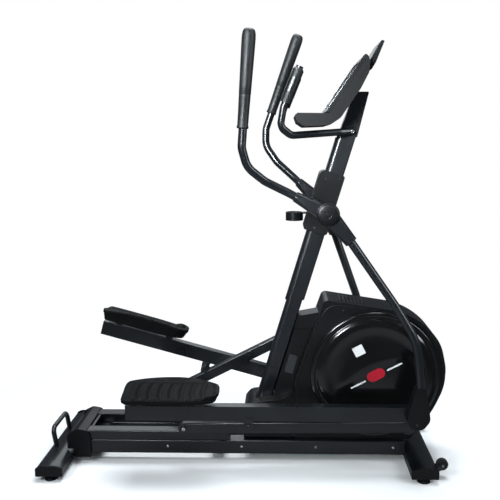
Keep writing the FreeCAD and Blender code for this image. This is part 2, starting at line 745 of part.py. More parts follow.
def belt():
    """Closed belt round the drive pulley and the flywheel pulley."""
    big, small = size("pulley_radius"), size("small_pulley_radius")
    span = math.dist(CRANK, FLYWHEEL)
    heading = math.atan2(FLYWHEEL[1] - CRANK[1], FLYWHEEL[0] - CRANK[0])
    spread = math.acos((big - small) / span)

    def loop(extra):
        def at(centre, radius, angle):
            return Vector(centre[0] + radius * math.cos(angle), 0, centre[1] + radius * math.sin(angle))
        r, q = big + extra, small + extra
        a, b = at(CRANK, r, heading + spread), at(FLYWHEEL, q, heading + spread)
        c, d = at(FLYWHEEL, q, heading - spread), at(CRANK, r, heading - spread)
        edges = [Part.LineSegment(a, b).toShape(),
                 Part.Arc(b, at(FLYWHEEL, q, heading), c).toShape(),
                 Part.LineSegment(c, d).toShape(),
                 Part.Arc(d, at(CRANK, r, heading + math.pi), a).toShape()]
        return Part.Face(Part.Wire(edges))
    gap = 0.3
    ring = loop(gap + size("belt_thickness")).cut(loop(gap))
    solid = ring.extrude(Vector(0, size("pulley_width") - 2, 0))
    solid.translate(Vector(0, PULLEY_Y[0] + 1, 0))
    middle = (heading - spread)
    reach = size("belt_thickness") + gap + size("idler_radius") + 0.3
    share = 0.55
    tangent = [CRANK[i] + share * (FLYWHEEL[i] - CRANK[i]) for i in (0, 1)]
    local = big + share * (small - big) + reach
    return solid, (tangent[0] + local * math.cos(middle), tangent[1] + local * math.sin(middle))


BELT, IDLER = belt()


def idler_bracket():
    """Pin of the belt idler on a foot welded to the near plate of the drive frame."""
    pin = along_y(IDLER, -62, PULLEY_Y[1] + 4, 5)
    foot = plate([(IDLER[0] - 14, IDLER[1] - 14), (IDLER[0] + 14, IDLER[1] - 14),
                  (IDLER[0] + 14, IDLER[1] + 30), (IDLER[0] - 14, IDLER[1] + 30)], 8, -61, -56)
    return [pin, foot]


feature("base_frame", fused([base_frame(), drive_frame()] + idler_bracket()))
feature("drive_belt", BELT)
feature("belt_idler", ring_y(IDLER, PULLEY_Y[0], PULLEY_Y[1], size("idler_radius"),
                             5 + size("running_gap")))
def magnet_brake():
    """Curved magnet carrier over the front of the flywheel."""
    inner = size("flywheel_radius") + 3
    y0, y1 = size("flywheel_y") - 4, size("flywheel_y") + size("flywheel_width") + 4
    shell = ring_y(FLYWHEEL, y0, y1, inner + 9, inner)
    wedge = [(FLYWHEEL[0], FLYWHEEL[1])]
    for degrees in (20, 60, 100):
        a = math.radians(degrees)
        wedge.append((FLYWHEEL[0] + 240 * math.cos(a), FLYWHEEL[1] + 240 * math.sin(a)))
    return shell.common(plate(wedge, 0, y0 - 1, y1 + 1))


feature("magnet_brake", magnet_brake())
motor = doc.addObject("Part::Box", "servo_body")
motor.Length, motor.Width, motor.Height = 62, 40, 44
motor_horn = doc.addObject("Part::Cylinder", "servo_horn")
motor_horn.Radius, motor_horn.Height = 11, 14
motor_horn.Placement = Placement(Vector(20, 20, 44), Rotation())
servo = doc.addObject("Part::Fuse", "brake_servo")
servo.Base, servo.Tool = motor, motor_horn
servo.Placement = Placement(Vector(CRANK[0] - 190, 20, CRANK[1] - 60), Rotation())
keep(servo, "brake_servo")

INLET_MID = (sum(INLET_Y) / 2, sum(INLET_Z) / 2)
inlet_body = block(FOOT_REAR_X, FOOT_REAR_X + 22, *INLET_Y, *INLET_Z)
inlet_well = block(FOOT_REAR_X - 1, FOOT_REAR_X + 14, INLET_MID[0] - 12, INLET_MID[0] + 12,
                   INLET_MID[1] - 8, INLET_MID[1] + 8)
inlet_pins = [rod((FOOT_REAR_X + 3, INLET_MID[0] + y, INLET_MID[1]),
                  (FOOT_REAR_X + 15, INLET_MID[0] + y, INLET_MID[1]), 2) for y in (-7, 0, 7)]
feature("power_inlet", fused([inlet_body.cut(inlet_well)] + inlet_pins))


# ---------------------------------------------------------------- links and rollers

LINK_Y = (-size("link_inner_y") - size("link_width"), -size("link_inner_y"))


def on_link(along, above=0.0):
    step = turned((along, above), direction_of(ROLLER_R, PIN_R))
    return (ROLLER_R[0] + step[0], ROLLER_R[1] + step[1])


def link():
    """Right link: a straight tube with a closed round end at the crank and a lug for the pedal arm."""
    half = size("link_height") / 2
    angle = direction_of(ROLLER_R, PIN_R)
    length = size("link_length")
    tube = rect_tube(length - 2, size("link_width"), size("link_height"), 5, WALL)
    tube.Placement = Placement(Vector(ROLLER_R[0], sum(LINK_Y) / 2, ROLLER_R[1]),
                               Rotation(Vector(0, 1, 0), -angle))
    ends = [along_y(ROLLER_R, *LINK_Y, half), along_y(PIN_R, LINK_Y[0] + 0.5, LINK_Y[1], 30)]
    boss = plate([on_link(size("pedal_pin_along") - 24, half - 2),
                  on_link(size("pedal_pin_along") - 12, size("pedal_pin_above") + 12),
                  on_link(size("pedal_pin_along") + 12, size("pedal_pin_above") + 12),
                  on_link(size("pedal_pin_along") + 24, half - 2)], [0, 11, 11, 0], LINK_Y[0] + 4,
                 LINK_Y[1] - 4)
    solid = fused([tube, boss] + ends)
    holes = [along_y(ARM_PIN_R, -300, 0, 7 + size("running_gap"))]
    return solid.cut(holes)


ROLLER_Y = (-size("rail_y") - size("roller_width") / 2, -size("rail_y") + size("roller_width") / 2)


def roller():
    wheel = ring_y(ROLLER_R, *ROLLER_Y, size("roller_radius"), 8 + size("running_gap"))
    return wheel.cut(ring_y(ROLLER_R, ROLLER_Y[0], ROLLER_Y[0] + 4, 22, 14)).cut(ring_y(ROLLER_R,
            ROLLER_Y[1] - 4, ROLLER_Y[1], 22, 14))


def roller_axle_bolt():
    """Shouldered axle of the roller, fixed in the link."""
    pin = along_y(ROLLER_R, LINK_Y[1], ROLLER_Y[1] + 4, 8)
    head = along_y(ROLLER_R, ROLLER_Y[1] + 4, ROLLER_Y[1] + 9, 12)
    cap = along_y(ROLLER_R, LINK_Y[0] - 4, LINK_Y[0], 12)
    spacer = ring_y(ROLLER_R, LINK_Y[1], ROLLER_Y[0] - size("face_gap"), 13, 7.9)
    return [pin, head, spacer, cap]


both_sides("link", "link", fused([link()] + roller_axle_bolt()))
both_sides("roller", "link", roller())


# ---------------------------------------------------------------- pedal arms and pedals

ARM_Y = (-size("arm_inner_y") - size("arm_width"), -size("arm_inner_y"))
ARM_HALF = size("arm_height") / 2
ARM_LINE_Z = ARM_PIN_R[1] + size("arm_above_pin")
ARM_BEND_X = ARM_PIN_R[0] + 150


def pedal_arm():
    """Right pedal arm: a tube that rises a little from its bend to a rounded eye behind the knee cover."""
    rear = ARM_PIN_R[0] - size("arm_rear")
    width, height = size("arm_width"), size("arm_height")
    y = sum(ARM_Y) / 2

    def bent(w, t):
        low, high = ARM_LINE_Z - t / 2, ARM_LINE_Z + t / 2
        rise = KNEE[1] - ARM_LINE_Z
        outline = [(rear, low), (ARM_BEND_X, low), (KNEE[0], low + rise), (KNEE[0], high + rise),
                   (ARM_BEND_X, high), (rear, high)]
        return plate(outline, 0, y - w / 2, y + w / 2)
    tube = bent(width, height).cut(bent(width - 2 * WALL, height - 2 * WALL))
    eye = along_y(KNEE, *ARM_Y, height / 2)
    rear_plug = block(rear, rear + 3, ARM_Y[0] + 1, ARM_Y[1] - 1, ARM_LINE_Z - height / 2 + 1,
                      ARM_LINE_Z + height / 2 - 1)
    return fused([tube, eye, rear_plug])


def pedal_arm_bracket():
    """Clevis under the pedal arm: a plate each side of the arm's tube and of the link's lug."""
    x, z = ARM_PIN_R
    gap = size("face_gap")
    arm_low = ARM_LINE_Z - ARM_HALF
    outer = plate([(x - 19, z - 19), (x + 19, z - 19), (x + 19, arm_low + 15),
                   (x - 19, arm_low + 15)], [18, 18, 4, 4], ARM_Y[0] - 5, ARM_Y[0])
    filler = plate([(x - 17, z - 17), (x + 17, z - 17), (x + 17, arm_low), (x - 17, arm_low)],
                   [16, 16, 0, 0], ARM_Y[0], LINK_Y[0] - gap)
    return fused([outer, filler]).cut(along_y(ARM_PIN_R, -300, 0, 7))


def pedal_arm_pin():
    """Pin through the clevis and the link's lug, with a round head outside."""
    pin = along_y(ARM_PIN_R, ARM_Y[0] - 5, LINK_Y[1] + 6, 7)
    head = along_y(ARM_PIN_R, ARM_Y[0] - 10, ARM_Y[0] - 5, 10)
    washer = along_y(ARM_PIN_R, LINK_Y[1] + size("face_gap"), LINK_Y[1] + 5, 13)
    return fused([pin, head, washer])



PEDAL_X = (ARM_PIN_R[0] - size("arm_rear") - 8,
           ARM_PIN_R[0] - size("arm_rear") - 8 + size("pedal_length"))
PEDAL_LOW = ARM_LINE_Z + ARM_HALF + size("pedal_post")
PEDAL_Y = (sum(ARM_Y) / 2 - size("pedal_width") / 2, sum(ARM_Y) / 2 + size("pedal_width") / 2)


def pedal():
    """Right foot pedal: a tray with a rounded toe and a rim that rises towards the inner side."""
    low = PEDAL_LOW
    x0, x1 = PEDAL_X
    outer_y, inner_y = PEDAL_Y
    taper = 16
    wall = size("pedal_wall")
    outline = rounded_wire([(x0, outer_y, low), (x1, outer_y + taper, low),
                            (x1, inner_y - taper, low), (x0, inner_y, low)], [34, 58, 58, 34], True)
    body = Part.Face(outline).extrude(Vector(0, 0, size("pedal_height")))
    floor = low + size("pedal_floor")
    tray = rounded_wire([(x0 + wall, outer_y + wall, floor),
                         (x1 - wall, outer_y + wall + taper - 1, floor),
                         (x1 - wall, inner_y - wall - taper + 1, floor),
                         (x0 + wall, inner_y - wall, floor)], [26, 50, 50, 26], True)
    body = body.cut(Part.Face(tray).extrude(Vector(0, 0, 100)))
    top = low + size("pedal_height")
    rim = low + size("pedal_outer_height")
    start = Vector(x0 - 10, outer_y - 1, rim)
    above = Part.makePolygon([start, Vector(x0 - 10, inner_y - 24, top),
                              Vector(x0 - 10, inner_y - 24, top + 40),
                              Vector(x0 - 10, outer_y - 1, top + 40), start])
    return body.cut(Part.Face(above).extrude(Vector(x1 - x0 + 20, 0, 0)))


def pedal_posts():
    """Plates that carry the pedal on the arm, bolted through."""
    y0, y1 = ARM_Y[0] + 2, ARM_Y[1] - 2
    posts = []
    for x in (PEDAL_X[0] + 60, PEDAL_X[0] + 300):
        posts.append(block(x, x + 30, y0, y1, ARM_LINE_Z + ARM_HALF, PEDAL_LOW))
    return posts


both_sides("pedal_arm", "arm", fused([pedal_arm(), pedal_arm_bracket()] + pedal_posts()))
both_sides("pedal_arm_pin", "arm", pedal_arm_pin())
both_sides("pedal", "arm", pedal())


# ---------------------------------------------------------------- swing arms and handlebars

def sleeve(start, end, wide, narrow):
    """Cone round a tube of the right swing arm, flattened on its inner and outer sides."""
    start, end = Vector(*start), Vector(*end)
    cone = Part.makeCone(wide, narrow, (end - start).Length, start, end - start)
    y, half = -size("swing_y"), size("swing_tube_radius") + 4
    return cone.common(block(-500, 1000, y - half, y + half, 800, 1300))


def swing_arm():
    """Right swing arm: hub on the axle, two sleeves, and a tube that bends down to the knee."""
    r = size("swing_tube_radius")
    y, knee_y = -size("swing_y"), -size("knee_y")
    hub = ring_y(PIVOT, -HUB_Y[1], -HUB_Y[0], HUB_INNER + 3,
                 size("pivot_axle_radius") + size("running_gap"))
    down = (PIVOT[0] + 88, y, PIVOT[1] - 104)
    start = (PIVOT[0] + 14, y, PIVOT[1] - 17)
    points = [start, down, (KNEE[0] - 104, -206, KNEE[1] + 462), (KNEE[0] - 12, -217, KNEE[1] + 312),
               (KNEE[0] + 6, knee_y + 1, KNEE[1] + 150), (KNEE[0] + 2, knee_y, KNEE[1])]
    tube = round_bar(points, [0, 200, 300, 260, 200, 0], r)
    lower_sleeve = sleeve(start, (PIVOT[0] + 92, y, PIVOT[1] - 109), 34, r + 8)
    upper_sleeve = sleeve((PIVOT[0] - 16, y, PIVOT[1] + 8.5), UPPER_SLEEVE_END, 34,
                          size("handlebar_radius") + 4)
    solid = fused([hub.fuse(lower_sleeve), tube, upper_sleeve])
    bore = rod(HANDLEBAR_START, UPPER_SLEEVE_END, size("handlebar_radius"))
    return solid.cut([bore, along_y(PIVOT, -HUB_Y[1] - 1, -HUB_Y[0] + 1,
                                    size("pivot_axle_radius") + size("running_gap"))])


UPPER_SLEEVE_END = (PIVOT[0] - 126, -size("swing_y"), PIVOT[1] + 67)
HANDLEBAR_START = (PIVOT[0] - 44, -size("swing_y"), PIVOT[1] + 23.4)
GRIP_FOOT = (PIVOT[0] - 323, -size("handlebar_y"), PIVOT[1] + 322)
GRIP_LEAN = Vector(27.5, 0, 356).normalize()
both_sides("swing_arm", "swing", swing_arm())


def handlebar():
    """Right moving handlebar: one bent tube from the sleeve to the top of the grip."""
    x, y, z = GRIP_FOOT
    top = Vector(*GRIP_FOOT) + GRIP_LEAN * (size("grip_length") - 20)
    end = Vector(*UPPER_SLEEVE_END)
    start = Vector(*HANDLEBAR_START)
    onward = end + (end - start).normalize() * 30
    points = [HANDLEBAR_START, tuple(onward), (88, -214, PIVOT[1] + 126), (22, -233, PIVOT[1] + 180),
               (x - 4, y + 3, PIVOT[1] + 252), tuple(top)]
    return round_bar(points, [0, 60, 110, 90, 70, 0], size("handlebar_radius"))


HANDLEBAR = handlebar()
both_sides("handlebar", "swing", HANDLEBAR)


def moving_grip():
    """Right foam grip: a sleeve that widens towards a rounded top."""
    low, high = size("grip_low_radius"), size("grip_high_radius")
    cone = Part.makeCone(low, high, size("grip_length") - 12, Vector(*GRIP_FOOT), GRIP_LEAN)
    top = Vector(*GRIP_FOOT) + GRIP_LEAN * (size("grip_length") - 12)
    crown = Part.makeCone(high, high - 12, 12, top, GRIP_LEAN)
    return fused([cone, crown]).cut(HANDLEBAR)


both_sides("grip", "swing", moving_grip())


def pivot_cover():
    """Round cover over the axle's end."""
    disc = along_y(PIVOT, -HUB_Y[1] - 12, -HUB_Y[1] - 3.6, 45)
    return disc.makeFillet(4,
                           [e for e in disc.Edges
                            if abs(e.BoundBox.YMax - (-HUB_Y[1] - 12)) < 0.1 and e.BoundBox.YLength < 0.1])


both_sides("pivot_cover", "swing", pivot_cover())


def knee_cover():
    """Moulded cover over the knee: narrow round the swing tube and wide round the pin."""
    x, z = KNEE
    outer_y, inner_y = -size("knee_y") - 22, -size("arm_inner_y") - size("arm_width") - 2.5
    outline = [(x - 48, z - 8), (x - 30, z + 66), (x - 15, z + 132), (x + 22, z + 132),
               (x + 40, z + 60), (x + 47, z - 6), (x + 20, z - 44), (x - 24, z - 44)]
    shell = plate(outline, [40, 60, 8, 8, 60, 34, 34, 34], outer_y, inner_y)
    return shell.cut(round_bar([(x + 2, -size("knee_y"), z), (x + 6, -size("knee_y") + 1, z + 150),
                                (x - 12, -217, z + 312)], [0, 200, 0], size("swing_tube_radius")))


both_sides("knee_cover", "swing", knee_cover())


# ---------------------------------------------------------------- fixed handlebar and console

def fixed_handlebar():
    """One bent tube: both fixed grips and the bar across the mast head."""
    y = size("fixed_bar_y")
    right = [(220, -y, 1636), (158, -y, 1484), (146, -y + 2, 1412), (190, -y + 18, 1378),
             (384, -62, 1392)]
    left = [(x, -yy, z) for x, yy, z in reversed(right)]
    middle = [(436, -34, 1396), (436, 34, 1396)]
    radii = [0, 40, 34, 40, 60, 26, 26, 60, 40, 34, 40, 0]
    return round_bar(right + middle + left, radii, size("fixed_bar_radius"))


FIXED_BAR = fixed_handlebar()
feature("fixed_handlebar", FIXED_BAR)


def fixed_grips():
    """Pair of grips on the fixed bar, with a recess for the pulse plates."""
    grips = []
    for side in (-1, 1):
        lean = Vector(62, 0, 152).normalize()
        foot = Vector(165, side * size("fixed_bar_y"), 1501)
        body = Part.makeCylinder(size("fixed_grip_radius"), size("fixed_grip_length"), foot, lean)
        crown = Part.makeCone(size("fixed_grip_radius"), size("fixed_grip_radius") - 6, 8,
                              foot + lean * size("fixed_grip_length"), lean)
        recess = Part.makeCylinder(size("fixed_grip_radius") + 1, 62, foot + lean * 40,
                                   lean).cut(Part.makeCylinder(size("fixed_grip_radius") - 1.4, 62,
                                                               foot + lean * 40, lean))
        grips.append(fused([body, crown]).cut(recess).cut(FIXED_BAR))
    return Part.makeCompound(grips)


def pulse_plates():
    """Steel hand pulse plates, two half shells in each grip."""
    shells = []
    for side in (-1, 1):
        lean = Vector(62, 0, 152).normalize()
        foot = Vector(165, side * size("fixed_bar_y"), 1501) + lean * 42
        tube = Part.makeCylinder(size("fixed_grip_radius") + 0.3, 58, foot,
                                 lean).cut(Part.makeCylinder(size("fixed_grip_radius") - 1.2, 58,
                                                             foot, lean))
        shells.append(tube.cut(block(100, 260, side * size("fixed_bar_y") - 1.5,
                                     side * size("fixed_bar_y") + 1.5, 1480, 1680)))
    return Part.makeCompound(shells)


feature("fixed_grips", fixed_grips())
feature("pulse_plates", pulse_plates())


def head_bracket():
    """Steel bracket at the mast head: it holds the fixed bar below and the console above."""
    low = on_mast(size("mast_top_z"), -34)
    outline = [(low[0] - 2, size("mast_top_z")), (396, 1425), (446, 1551), (500, 1551), (456, 1372)]
    back_block = plate(outline, [2, 10, 6, 4, 2], -26, 26)
    return back_block.cut(round_bar([(384, -62, 1392), (436, -34, 1396), (436, 34, 1396),
                                     (384, 62, 1392)], [0, 26, 26, 0], size("fixed_bar_radius")))


upper = mast_tube(size("mast_joint_z"), size("mast_top_z"), size("mast_depth"), 24).cut(PIVOT_BORE)
feature("mast_upper", fused([upper, head_bracket()]))

FACE_LOW, FACE_HIGH = (322, 1470), (464, 1680)
CW = size("console_half_width")


def face_point(share, out=0.0):
    """Point on the screen face: share of its height, out along its normal."""
    dx, dz = FACE_HIGH[0] - FACE_LOW[0], FACE_HIGH[1] - FACE_LOW[1]
    span = math.hypot(dx, dz)
    return (FACE_LOW[0] + dx * share - out * dz / span, FACE_LOW[1] + dz * share + out * dx / span)


def console_back():
    """Rear casing of the console with its front tray, leaving room for the face."""
    outline = [(201, 1455), (210, 1430), (236, 1412), (334, 1416), (376, 1444), (450, 1553),
               (480, 1612), (483, 1652), face_point(1, -14), face_point(0, -14), (306, 1462),
               (212, 1463)]
    body = plate(outline, [3, 8, 20, 30, 40, 60, 30, 4, 1, 2, 8, 3], -CW, CW)
    inner = plate([(384, 1472), (444, 1560), (470, 1614), (474, 1640), face_point(0.82, -18),
                   face_point(0.14, -18)], 2, -CW + 4, CW - 4)
    tray = plate([(222, 1455), (244, 1428), (300, 1428), (316, 1455), (316, 1480), (222, 1480)],
                 [2, 12, 8, 2, 0, 0], -CW + 22, CW - 22)
    return body.cut(inner).cut(tray).cut(plate([(396, 1425), (446, 1551), (500, 1551), (456, 1372),
                                                (390, 1372)], 0, -26.3, 26.3))


def console_face():
    """Front frame of the console, with a window for the screen and holes for the keys."""
    frame = plate([face_point(0, -14), face_point(1, -14), face_point(1, 0), face_point(0, 0)],
                  [3, 3, 5, 5], -CW, CW)
    window = plate([face_point(SCREEN[0], -20), face_point(SCREEN[1], -20), face_point(SCREEN[1], 6),
                     face_point(SCREEN[0], 6)], 0, -SCREEN_HALF, SCREEN_HALF)
    for y in KEY_Y:
        frame = frame.cut(rod((*at3(KEY_SHARE, -20, y),), (*at3(KEY_SHARE, 6, y),), KEY_RADIUS + 0.4))
    return frame.cut(window)


def at3(share, out, y):
    x, z = face_point(share, out)
    return (x, y, z)


SCREEN = (0.27, 0.9)
SCREEN_HALF = 118
KEY_SHARE = 0.12
KEY_RADIUS = 9
KEY_Y = (-60, 0, 60)
feature("console_back", console_back())
feature("console_face", console_face())
feature("console_screen", plate([face_point(SCREEN[0], -12), face_point(SCREEN[1], -12),
                                 face_point(SCREEN[1], -2), face_point(SCREEN[0], -2)], 0,
                                -SCREEN_HALF, SCREEN_HALF))
KEY_NAMES = ("down_key", "start_key", "up_key")
for key_name, key_y in zip(KEY_NAMES, KEY_Y):
    feature(key_name, rod(at3(KEY_SHARE, -11, key_y), at3(KEY_SHARE, 2.4, key_y), KEY_RADIUS))

RACK_OUTLINE = [(483.6, 1655), (532, 1737), (543, 1733), (512, 1655), (496, 1628), (483.6, 1628)]
RACK_HALF = 110
feature("media_rack", plate(RACK_OUTLINE, [0, 3, 3, 6, 4, 0], -RACK_HALF, RACK_HALF))

os.makedirs("parts", exist_ok=True)
doc.recompute()
for item in doc.Objects:
    if "Invalid" in item.State or "Error" in item.State:
        raise RuntimeError("%s failed: %s" % (item.Name, item.State))
for name, item in NODES.items():
    if item.Shape.isNull() or not item.Shape.isValid():
        raise RuntimeError("%s has no valid shape" % name)
    if not item.Shape.Solids:
        raise RuntimeError("%s has no solid" % name)
for name, item in NODES.items():
    item.Shape.exportStep("parts/%s.step" % name)
box = FreeCAD.BoundBox()
for item in NODES.values():
    box.add(item.Shape.BoundBox)
print("nodes", len(NODES), "box",
      [round(v, 1) for v in (box.XMin, box.XMax, box.YMin, box.YMax, box.ZMin, box.ZMax)])
print("linkage", "link turn %.2f arm turn %.2f swing turn %.2f" % (LINK_TURN, ARM_TURN, SWING_TURN))
print("rollers", ROLLER_R, ROLLER_L, "arm pins", ARM_PIN_R, ARM_PIN_L, "knees", KNEE, KNEE_L)
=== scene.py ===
# %% [markdown]
# # An elliptical trainer, dressed for the studio
# The engineering model is already finished: every tube, cover and roller is a fixed solid. This lesson
# adds what the eye notices: finishes, bolts, moulded pedals, dished crank discs, grips, wheels and a console.

# %% Load the fixed model
import math
import bpy
from mathutils import Matrix, Vector


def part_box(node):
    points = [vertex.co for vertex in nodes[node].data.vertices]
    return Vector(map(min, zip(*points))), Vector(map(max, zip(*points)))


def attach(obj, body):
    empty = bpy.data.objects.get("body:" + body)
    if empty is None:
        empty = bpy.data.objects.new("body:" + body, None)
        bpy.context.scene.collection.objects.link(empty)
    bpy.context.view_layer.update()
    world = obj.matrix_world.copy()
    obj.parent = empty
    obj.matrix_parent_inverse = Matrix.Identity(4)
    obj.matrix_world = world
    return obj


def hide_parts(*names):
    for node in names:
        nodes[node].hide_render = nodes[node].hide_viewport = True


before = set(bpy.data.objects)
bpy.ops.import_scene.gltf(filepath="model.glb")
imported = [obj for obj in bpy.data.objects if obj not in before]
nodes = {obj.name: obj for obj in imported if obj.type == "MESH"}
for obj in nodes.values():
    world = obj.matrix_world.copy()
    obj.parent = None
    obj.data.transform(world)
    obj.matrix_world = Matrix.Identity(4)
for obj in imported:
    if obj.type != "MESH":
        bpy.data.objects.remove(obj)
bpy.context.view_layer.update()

# %% [markdown]
# ## Camera, floor and light
# A machine this dark is read by its reflections. The room is white to the camera and dim to the machine, so
# the covers stay nearly black while soft boxes draw bright edges on the tubes. The floor does the same, and
# fades out before it makes a horizon. The camera stands to the machine's right, a little above the console,
# and looks down by about ten degrees.

# %% Camera
camera_data = bpy.data.cameras.new("studio_camera")
camera_data.sensor_width = 36.0
camera_data.lens = 46.08
camera_data.shift_x = -0.044
camera = bpy.data.objects.new("studio_camera", camera_data)
camera.location = (0.1537, -2.6511, 1.3607)
camera.rotation_euler = (math.radians(90 - 9.752), 0, math.radians(0.9))
bpy.context.scene.collection.objects.link(camera)
bpy.context.scene.camera = camera
bpy.context.scene.view_settings.view_transform = "Standard"

# %% Room light
room = bpy.data.worlds.new("pale_room")
room.use_nodes = True
seen = room.node_tree.nodes.new("ShaderNodeLightPath")
wall = room.node_tree.nodes.new("ShaderNodeMix")
wall.data_type = "RGBA"
wall.inputs[6].default_value = (0.085, 0.096, 0.108, 1.0)
wall.inputs[7].default_value = (1.0, 1.0, 1.0, 1.0)
room.node_tree.links.new(seen.outputs["Is Camera Ray"], wall.inputs[0])
room.node_tree.links.new(wall.outputs[2], room.node_tree.nodes["Background"].inputs["Color"])
bpy.context.scene.world = room


def soft_box(name, place, aim, width, height, power, spread=180):
    """A rectangular lamp at a place, turned to face a point; spread is its beam in degrees."""
    data = bpy.data.lights.new(name, "AREA")
    data.shape = "RECTANGLE"
    data.size = width
    data.size_y = height
    data.energy = power
    data.color = (0.90, 0.96, 1.0)
    data.spread = math.radians(spread)
    lamp = bpy.data.objects.new(name, data)
    lamp.location = place
    lamp.rotation_euler = (Vector(aim) - Vector(place)).to_track_quat("-Z", "Y").to_euler()
    bpy.context.scene.collection.objects.link(lamp)


MIDDLE, HEAD = (0.1, 0.0, 0.8), (0.15, -0.1, 1.45)
soft_box("key_box", (-2.4, -2.4, 3.2), MIDDLE, 1.6, 1.2, 80)
soft_box("front_box", (2.8, -1.4, 2.2), MIDDLE, 0.7, 2.4, 50)
soft_box("top_box", (0.2, 0.4, 4.0), MIDDLE, 2.6, 1.2, 150)
soft_box("back_box", (-0.6, 3.0, 2.2), MIDDLE, 2.6, 1.4, 22)
soft_box("head_box", (-1.1, -3.3, 2.3), HEAD, 0.5, 1.5, 20, 40)

# %% [markdown]
# ## How a finish is written
# Shader maths reads best as plain arithmetic, so one small class stands for a number that changes over the
# surface, and its signs add Math nodes. Everything else comes from one method that adds any node.


# %% Shader helpers
class Shade:
    """A number or colour that changes over a surface."""

    def __init__(self, finish, socket):
        self.finish = finish
        self.socket = socket

    def maths(self, operation, first, second):
        return self.finish.node("ShaderNodeMath", {"operation": operation}, {0: first, 1: second})

    def __add__(self, other):
        return self.maths("ADD", self, other)

    def __radd__(self, other):
        return self.maths("ADD", other, self)

    def __sub__(self, other):
        return self.maths("SUBTRACT", self, other)

    def __rsub__(self, other):
        return self.maths("SUBTRACT", other, self)

    def __mul__(self, other):
        return self.maths("MULTIPLY", self, other)

    def __rmul__(self, other):
        return self.maths("MULTIPLY", other, self)


class Finish:
    """A material with its own node tree, on Object coordinates."""

    def __init__(self, name):
        self.material = bpy.data.materials.new(name)
        self.material.use_nodes = True
        self.tree = self.material.node_tree
        self.shader = self.tree.nodes["Principled BSDF"]
        self.place = self.node("ShaderNodeTexCoord", output="Object")

    def node(self, kind, settings=None, sockets=None, output=0):
        made = self.tree.nodes.new(kind)
        for key, setting in (settings or {}).items():
            setattr(made, key, setting)
        for key, value in (sockets or {}).items():
            self.plug(made.inputs[key], value)
        return Shade(self, made.outputs[output])

    def plug(self, socket, value):
        if isinstance(value, Shade):
            self.tree.links.new(value.socket, socket)
        else:
            socket.default_value = value

    def surface(self, **sockets):
        for key, value in sockets.items():
            self.plug(self.shader.inputs[key.replace("_", " ")], value)

    def noise(self, scale, detail=2.0, stretch=None):
        place = self.place
        if stretch:
            place = self.node("ShaderNodeMapping", {}, {"Vector": place, "Scale": stretch})
        return self.node("ShaderNodeTexNoise", {}, {"Vector": place, "Scale": scale, "Detail": detail})

    def cells(self, scale):
        return self.node("ShaderNodeTexVoronoi", {}, {"Vector": self.place, "Scale": scale})

    def spread(self, value, low, high, start=0.3, end=0.7):
        """Maps the middle of a noise to a range."""
        return self.node("ShaderNodeMapRange", {}, {0: value, 1: start, 2: end, 3: low, 4: high})

    def tint(self, mask, first, second):
        return self.node("ShaderNodeMix", {"data_type": "RGBA"}, {0: mask, 6: first, 7: second}, 2)

    def relief(self, height, strength, depth, edge=0.0):
        """A Bump node; edge rounds the sharp corners of a solid by that radius."""
        sockets = {"Height": height, "Strength": strength, "Distance": depth}
        if edge:
            sockets["Normal"] = self.node("ShaderNodeBevel", {"samples": 4}, {"Radius": edge})
        return self.node("ShaderNodeBump", {}, sockets)


def grey(level, blue=1.0):
    """A colour near black, a little cooler where blue is over 1."""
    return (level / blue, level, level * blue, 1.0)


# %% [markdown]
# ## The finishes
# The frame is powder coated: satin, nearly black and a little blue, with the fine orange peel of baked
# powder. The covers are moulded plastic with a spark-eroded grain. The crank discs are the glossiest pieces,
# so they get a smooth lacquer coat. Foam and rubber are dull, with a coarser skin.


# %% Painted and moulded finishes
def powder_coat():
    finish = Finish("powder_coat")
    clouds = finish.noise(5.0, 3.0)
    peel = finish.noise(420.0, 1.0)
    dust = finish.noise(60.0, 4.0)
    colour = finish.tint(finish.spread(clouds, 0.0, 1.0), grey(0.0035, 1.40), grey(0.0060, 1.35))
    colour = finish.tint(finish.spread(dust, 0.0, 0.22, 0.55, 0.8), colour, grey(0.014, 1.05))
    finish.surface(Base_Color=colour, Roughness=finish.spread(clouds, 0.27, 0.36) + (dust - 0.5) * 0.08,
                   Coat_Weight=finish.spread(clouds, 0.20, 0.35), Coat_Roughness=0.12,
                   Normal=finish.relief(peel, 0.10, 0.0004, 0.0018))
    return finish.material


def moulded(name, level, rough_low, rough_high, grain_scale, edge=0.0015):
    finish = Finish(name)
    clouds = finish.noise(7.0, 3.0)
    grain = finish.cells(grain_scale)
    colour = finish.tint(finish.spread(clouds, 0.0, 1.0), grey(level, 1.12), grey(level * 1.35, 1.10))
    finish.surface(Base_Color=colour, Roughness=finish.spread(clouds, rough_low, rough_high),
                   Specular_IOR_Level=0.28, Normal=finish.relief(grain, 0.12, 0.0003, edge))
    return finish.material


def gloss_disc():
    finish = Finish("gloss_disc")
    swirl = finish.noise(3.0, 2.0)
    haze = finish.noise(30.0, 3.0)
    colour = finish.tint(finish.spread(swirl, 0.0, 1.0), grey(0.0025, 1.02), grey(0.0040, 1.03))
    finish.surface(Base_Color=colour, Roughness=finish.spread(haze, 0.13, 0.17),
                   Coat_Weight=finish.spread(swirl, 0.15, 0.25),
                   Normal=finish.relief(haze, 0.02, 0.0002, 0.001))
    return finish.material


def foam_skin():
    finish = Finish("foam_skin")
    pores = finish.cells(900.0)
    wear = finish.noise(14.0, 4.0)
    colour = finish.tint(finish.spread(wear, 0.0, 1.0), grey(0.0055, 1.16), grey(0.0090, 1.14))
    finish.surface(Base_Color=colour, Roughness=finish.spread(wear, 0.42, 0.56), Specular_IOR_Level=0.38,
                   Normal=finish.relief(pores, 0.18, 0.0004))
    return finish.material


